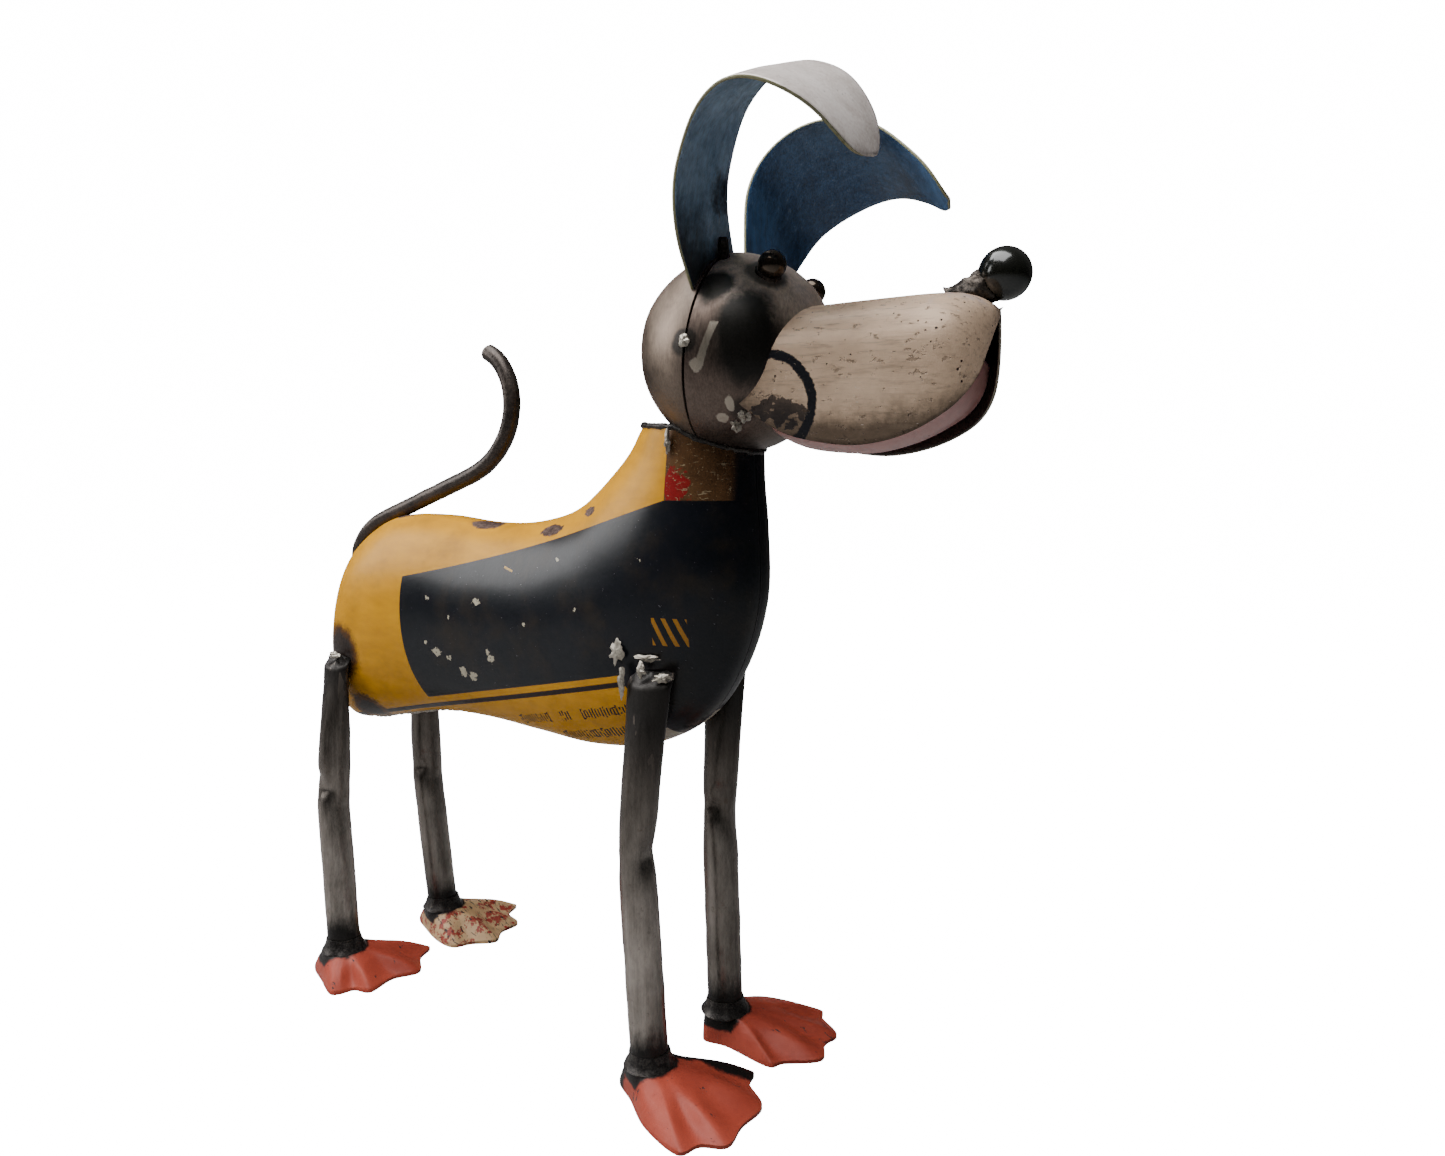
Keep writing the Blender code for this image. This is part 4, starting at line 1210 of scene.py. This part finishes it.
# Round each sole from its heel: bearing in degrees, reach as a share of the paw, 1 at a notch
FRONT_RIGHT_SOLE = (
    (180, 0.25, 0), (-107, 0.15, 0), (-57, 0.37, 0), (-38, 0.66, 0),
    (-25, 0.65, 1), (-14, 0.75, 0), (2, 0.69, 1), (21, 0.73, 0),
    (40, 0.64, 1), (54, 0.68, 0), (82, 0.34, 0), (126, 0.21, 0),
)
FRONT_LEFT_SOLE = (
    (170, 0.17, 0), (-125, 0.16, 0), (-50, 0.15, 0), (-20, 0.48, 0),
    (-8, 0.53, 1), (8, 0.72, 0), (24, 0.7, 1), (34, 0.78, 0),
    (51, 0.73, 1), (61, 0.76, 0), (90, 0.57, 0), (130, 0.22, 0),
)
HIND_RIGHT_SOLE = (
    (-166, 0.34, 0), (-94, 0.24, 0), (-55, 0.42, 0), (-43, 0.44, 0),
    (-26, 0.41, 1), (-13, 0.53, 0), (17, 0.5, 1), (33, 0.68, 0),
    (57, 0.67, 1), (72, 0.79, 0), (98, 0.46, 0), (145, 0.29, 0),
)
HIND_LEFT_SOLE = (
    (178, 0.37, 0), (-127, 0.17, 0), (-50, 0.33, 0), (-31, 0.5, 0),
    (-12, 0.53, 1), (5, 0.68, 0), (23, 0.62, 1), (40, 0.73, 0),
    (60, 0.66, 1), (75, 0.8, 0), (100, 0.4, 0), (140, 0.31, 0),
)


def paw_plate(name, sole, length):
    """A plate round its own ankle, with a level seat for the leg."""
    corners = []
    for bearing, share, groove in sole:
        angle = math.radians(bearing)
        corners.append((length * share * math.cos(angle), length * share * math.sin(angle), groove))
    looped = corners[-1:] + corners + corners[:2]
    outline = []
    for i in range(len(corners) * PAW_SMOOTHING):
        x, y, groove = through(looped, 1 + i / PAW_SMOOTHING)
        outline.append((Vector((x, y)), max(groove, 0.0)))
    seat = TUBE_DIAMETER / 2 + SEAT_MARGIN
    rows = [[Vector((point.x, point.y, 0)) for point, _ in outline]]
    for i in range(PAW_RINGS + 1):
        inward = i / PAW_RINGS
        row = []
        for point, groove in outline:
            place = point.lerp(point.normalized() * seat, inward)
            rise = (PAW_HEIGHT - PAW_EDGE) * (inward + math.sin(math.pi / 2 * inward)) / 2
            drop = PAW_GROOVE * (groove - 0.35) * math.sin(math.pi * min(1.0, inward / 0.6))
            height = PAW_EDGE + rise - max(drop, -0.0006)
            height += uneven(Vector((place.x, place.y, 0)), 0.007, 0.0003) * inward
            row.append(Vector((place.x, place.y, height)))
        rows.append(row)
    return surface(name, rows, closed=True, capped=True)


def paw_finish(at, colour, chips, under, back):
    """Paint on a paw, chipped in places. Soot lies round the ankle and beyond a line back away."""
    x, y, z = at.split()
    cloud = at.noise(110, 4, 0.65)
    fine = at.noise(800, 4, 0.7)
    ragged = (cloud - 0.5) * 0.012
    soot = at.scaled((1.0, 1.0, 0.0)).near((-0.0015, 0.0, 0.0), ragged * 0.5, 0.0124, 0.0106)
    soot = soot * (z + ragged * 0.3).step(0.0058, 0.0072)
    soot = soot.most((y * 0.766 - x * 0.643 + ragged * 0.6).step(back - 0.0008, back + 0.0014))
    colour = chips.mix(colour, under)
    colour = (fine.step(0.6, 0.78) * 0.25).mix(colour, (0.05, 0.02, 0.015))
    colour = soot.mix(colour, (0.014, 0.011, 0.01))
    return {
        "Base Color": colour,
        "Roughness": cloud * 0.22 + fine * 0.12 + 0.3,
        "Metallic": soot * 0.5,
        "Normal": (cloud * 1.2 + fine * 0.4 - chips * 0.6).bump(0.00018),
    }


def red_paw(at, back=NO_LINE):
    cloud = at.noise(70, 4, 0.6)
    colour = cloud.mix((0.24, 0.032, 0.018), (0.41, 0.07, 0.04))
    chips = (at.scaled((1.0, 2.2, 1.0)).noise(150, 4, 0.7) - 0.64).step(0.0, 0.03)
    return paw_finish(at, colour, chips, (0.04, 0.025, 0.024), back)


def sooty_paw(at):
    return red_paw(at, 0.0015)


def cream_paw(at):
    colour = at.noise(90, 4, 0.6).mix((0.4, 0.23, 0.1), (0.62, 0.43, 0.25))
    chips = (at.noise(170, 5, 0.75) - 0.515).step(0.0, 0.03)
    scratches = (at.scaled((1.0, 3.5, 1.0)).noise(260, 3, 0.6, 0.6) - 0.6).step(0.0, 0.02)
    colour = scratches.mix(colour, (0.02, 0.014, 0.012))
    return paw_finish(at, colour, chips * (1 - scratches), (0.3, 0.048, 0.03), NO_LINE)


red = finish_of("red_paw_paint", red_paw, Specular_IOR_Level=0.25)
sooty_red = finish_of("red_paw_paint_sooty", sooty_paw, Specular_IOR_Level=0.25)
worn_cream = finish_of("cream_paw_paint", cream_paw, Specular_IOR_Level=0.3)
paws = (
    (FRONT_RIGHT_SOLE, FRONT_PAW_LENGTH, sooty_red, "red_paint"),
    (FRONT_LEFT_SOLE, FRONT_PAW_LENGTH, red, "red_paint"),
    (HIND_RIGHT_SOLE, HIND_PAW_LENGTH, red, "red_paint"),
    (HIND_LEFT_SOLE, HIND_PAW_LENGTH, worn_cream, "cream_paint"),
)
for (word, pair, side, _), (sole, length, paint, slot) in zip(LEGS, paws):
    ankle = stand @ Matrix.Translation((pair[0] * BODY_LENGTH, side * pair[1], 0))
    place_piece(paw_plate(word + "_plate", sole, length), ankle, paint, slot, word + "_paw")


# Welds: rough beads of weld metal where the pieces meet. Sooty fillets lie round each ankle and
# the neck, a pale bead runs along the belly's seam, and pale blobs and flakes stand on the leg
# tops, at the tail's foot, on the head's joint and at the snout's corner.

BEAD_SIDES = 12
BLOB_RINGS = 15
BLOB_SIDES = 28
NECK_STEPS = 60
NECK_TRIES = 160
NECK_TRY = 0.02
BELLY_STEPS = 90
BELLY_START = 1.5
ANKLE_SINK = 0.0012
# Height over the paw's top and radius
ANKLE_FILLET = (
    (0.0, 0.0094), (0.0006, 0.0098), (0.0014, 0.0093), (0.0024, 0.0086), (0.0038, 0.008), (0.006, 0.0074),
)


def bead(name, points, radius, closed=False, rough=0.35):
    """A lumpy bead of weld metal laid along a line of points."""
    count = len(points)
    rows = []
    for i in range(count):
        ahead = points[(i + 1) % count if closed else min(i + 1, count - 1)]
        behind = points[i - 1 if closed or i else 0]
        along = (ahead - behind).normalized()
        first = along.orthogonal().normalized()
        second = along.cross(first)
        thick = radius * (1 + rough * noise.noise(points[i] / (radius * 1.6)))
        thick *= 1.0 if closed else 0.45 + 0.55 * math.sin(math.pi * (i + 0.5) / count) ** 0.5
        rows.append([points[i] + (first * c + second * s) * thick for c, s in circle(BEAD_SIDES)])
    if closed:
        rows.append(rows[0])
    return surface(name, rows, closed=True, capped=not closed)


def blob(name, middle, sizes, facing, rough=0.7):
    """A splash of weld metal, flat against the sheet it lies on."""
    aim = facing.to_track_quat("Z", "Y").to_matrix().to_4x4()
    rows = []
    for i in range(BLOB_RINGS):
        lift = math.pi * (i + 0.5) / BLOB_RINGS
        row = []
        for first, second in circle(BLOB_SIDES):
            out = Vector((math.sin(lift) * first, math.sin(lift) * second, math.cos(lift)))
            flatly = Vector((first, second, math.cos(lift) * 0.4)) * 1.9
            swell = 1 + rough * noise.noise(flatly + middle * 900) + 0.3 * rough * noise.noise(flatly * 3)
            row.append(middle + aim @ Vector([a * b for a, b in zip(out, sizes)]) * swell)
        rows.append(row)
    return surface(name, rows, closed=True, capped=True)


def sooty_weld(at):
    noises = at.noise(300, 4, 0.6), at.noise(1400, 3, 0.7)
    tones = (0.01, 0.008, 0.008), (0.11, 0.1, 0.09)
    return scaled_metal(*noises, (0.6, 0.5, 0.4, 0.9), tones, (0, 0.3, 0.25), (0.3, 0.55), (0.5, 0.0002))


def pale_weld(at):
    noises = at.noise(300, 4, 0.6), at.noise(1400, 3, 0.7)
    tones = (0.16, 0.14, 0.11), (0.52, 0.48, 0.41)
    return scaled_metal(*noises, (0.6, 0.5, 0.3, 0.8), tones, (0, 0.25, 0.28), (0.3, 0.6), (0.6, 0.0002))


soot_bead = finish_of("sooty_weld", sooty_weld)
silver_bead = finish_of("pale_weld", pale_weld)
for word, pair, side, _ in LEGS:
    foot = Vector((pair[0] * BODY_LENGTH, side * pair[1], PAW_HEIGHT - ANKLE_SINK))
    up = foot + Vector((0, 0, 1))
    weld = turned(word + "_ankle_weld", ANKLE_FILLET, foot, up, LEG_SIDES, 0.0004, 0.003)
    place_piece(weld, stand, soot_bead, "leg_steel")

# Down each angle of the neck, the first point of the skin that is clear of the ball
neck_ring = []
for side, angles in ((-1, range(0, NECK_STEPS + 1)), (1, range(NECK_STEPS, -1, -1))):
    for k in angles:
        for step in range(NECK_TRIES):
            position = len(BODY_SECTIONS) - 1 - step * NECK_TRY
            point = body_point(position, math.pi * k / NECK_STEPS, side)
            if (point - head_middle).length > HEAD_DIAMETER / 2:
                break
        neck_ring.append(Vector((point.x, point.y - side * 0.0004, point.z)))
neck_bead = bead("neck_weld", neck_ring, 0.0011, closed=True, rough=0.6)
place_piece(neck_bead, stand, soot_bead, "dark_steel")
belly_line = []
for step in range(BELLY_STEPS + 1):
    belly = body_section(BELLY_START + step * 0.05)[1]
    belly_line.append(belly + Vector((0, 0.0009 * noise.noise(belly * 160), -0.0001)))
belly_bead = bead("belly_seam_weld", belly_line, 0.0008, rough=0.9)
place_piece(belly_bead, stand, silver_bead, "yellow_paint")
for word, side in (("right", -1), ("left", 1)):
    middle = Vector((-0.0049, side * 0.0334, -0.0011))
    cheek = blob(word + "_cheek_weld", middle, (0.0021, 0.0023, 0.0011), Vector((-0.15, side, 0)), 0.3)
    place_piece(cheek, head_place, silver_bead, "pale_steel")
# Name, place, half sizes and the way each faces
blobs = (
    ("front_right_top_weld_a", (0.0727, -0.0254, 0.1632), (0.0032, 0.0042, 0.0005), (-0.05, -1, 0.1)),
    ("front_right_top_weld_b", (0.086, -0.024, 0.1617), (0.0048, 0.0012, 0.0006), (0.15, -1, 0.1)),
    ("front_right_top_weld_c", (0.0845, -0.0262, 0.1575), (0.0019, 0.0028, 0.0007), (0, -1, 0.1)),
    ("front_right_top_weld_d", (0.0765, -0.027, 0.1532), (0.0016, 0.006, 0.0005), (-0.1, -1, 0)),
    ("front_right_top_weld_e", (0.0935, -0.0252, 0.1557), (0.0032, 0.0016, 0.001), (0.2, -1, 0.2)),
    ("front_left_top_weld", (0.085, 0.0262, 0.159), (0.004, 0.0018, 0.0007), (0, 1, 0.1)),
    ("tail_foot_weld", (-0.1105, -0.0034, 0.1737), (0.003, 0.0022, 0.0009), (-0.3, -1, 0.2)),
    ("hind_right_top_weld", (-0.09, -0.0258, 0.1447), (0.0042, 0.0016, 0.0008), (-0.1, -1, 0.3)),
    ("hind_left_top_weld", (-0.09, 0.0258, 0.1447), (0.0042, 0.0016, 0.0008), (-0.1, 1, 0.3)),
    ("neck_weld_flake", (0.0925, -0.0205, 0.2372), (0.0012, 0.0034, 0.0008), (-0.2, -1, 0)),
    ("snout_corner_weld_a", (0.1242, -0.0203, 0.2456), (0.0022, 0.0024, 0.0012), (0.5, -1, -0.2)),
    ("snout_corner_weld_b", (0.1205, -0.02, 0.2424), (0.0018, 0.002, 0.001), (0.3, -1, -0.3)),
)
for name, middle, sizes, facing in blobs:
    place_piece(blob(name, Vector(middle), sizes, Vector(facing)), stand, silver_bead, "leg_steel")


# Stage: a pale sweep and a room that the camera sees white, under a broad soft light from above
# and one from the rear right. What lights the steel is dim, brighter above and behind the dog.

VIEW_AZIMUTH = math.radians(34.85)
VIEW_PITCH = math.radians(-6.43)
VIEW_PLACE = (0.32462, -0.3208, 0.23297)
FOCAL_PIXELS = 1099.74
PHOTO_WIDTH = 1445
BACKDROP_GLOW = 16.0
SWEEP_FLOOR = 2.0
SWEEP_BEND = 1.5
SWEEP_TOP = 4.0
SWEEP_STEPS = 40
LIT_POINT = Vector((0, 0, 0.2))


def sweep_paint(at):
    cloud = at.noise(3, 3, 0.5)
    seen = sees(at.tree)
    return {
        "Base Color": seen.mix((0.3, 0.3, 0.3), (0.85, 0.85, 0.85)),
        "Roughness": cloud * 0.1 + 0.8,
        "Emission Color": seen.mix((0.0, 0.0, 0.0), (1.0, 1.0, 1.0)),
    }


def sweep(name):
    """A floor that bends up behind the dog, as the camera sees it."""
    rows = []
    for i in range(SWEEP_STEPS + 1):
        share = i / SWEEP_STEPS
        run = min(share * 4 - 1, 1) * SWEEP_FLOOR
        bend = max(share - 0.5, 0) * math.pi
        place = Vector((0, run + SWEEP_BEND * math.sin(bend), SWEEP_BEND * (1 - math.cos(bend))))
        rows.append([place + Vector((across, 0, 0)) for across in (-5, -2.5, 0, 2.5, 5)])
    rows.append([Vector((point.x, point.y, SWEEP_TOP)) for point in rows[-1]])
    piece = surface(name, rows)
    piece.matrix_world = Matrix.Rotation(VIEW_AZIMUTH, 4, "Z") @ Matrix.Translation((0, 0, -0.0001))
    piece.data.materials.append(finish_of("sweep_paint", sweep_paint, Emission_Strength=BACKDROP_GLOW))
    return piece


sweep("studio_sweep")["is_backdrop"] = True
world = bpy.data.worlds.new("studio")
world.use_nodes = True
sky = world.node_tree.nodes["Background"]
direction = Wire(world.node_tree, world.node_tree.nodes.new("ShaderNodeTexCoord").outputs["Generated"])
toward_x, toward_y, toward_z = direction.split()
behind = (toward_y * 0.82 - toward_x * 0.57).step(-0.4, 0.8)
glow = toward_z.step(-0.1, 0.9) * 0.07 + behind * 0.045 + 0.016
seen = sees(world.node_tree)
strength = glow * (1 - seen) + seen * BACKDROP_GLOW
world.node_tree.links.new(strength.socket, sky.inputs["Strength"])
sky.inputs["Color"].default_value = (1.0, 1.0, 1.0, 1.0)
bpy.context.scene.world = world


def soft_light(name, place, size, power):
    lamp = bpy.data.lights.new(name, "AREA")
    lamp.shape = "RECTANGLE"
    lamp.size, lamp.size_y = size
    lamp.energy = power
    made = bpy.data.objects.new(name, lamp)
    bpy.context.scene.collection.objects.link(made)
    aim = (Vector(place) - LIT_POINT).to_track_quat("Z", "Y").to_matrix().to_4x4()
    made.matrix_world = Matrix.Translation(place) @ aim


soft_light("overhead", (-0.1, -0.3, 1.2), (1.2, 0.8), 26.0)
soft_light("left", (-1.1, -0.7, 0.8), (0.8, 0.8), 16.0)

lens = bpy.data.cameras.new("camera")
lens.sensor_width = 36.0
lens.lens = lens.sensor_width * FOCAL_PIXELS / PHOTO_WIDTH
camera = bpy.data.objects.new("camera", lens)
bpy.context.scene.collection.objects.link(camera)
aim = Matrix.Rotation(VIEW_AZIMUTH, 4, "Z") @ Matrix.Rotation(math.pi / 2 + VIEW_PITCH, 4, "X")
camera.matrix_world = stand @ Matrix.Translation(VIEW_PLACE) @ aim
bpy.context.scene.camera = camera

sizes = [[list(corner) for corner in cad_bounds], [list(corner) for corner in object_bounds()]]
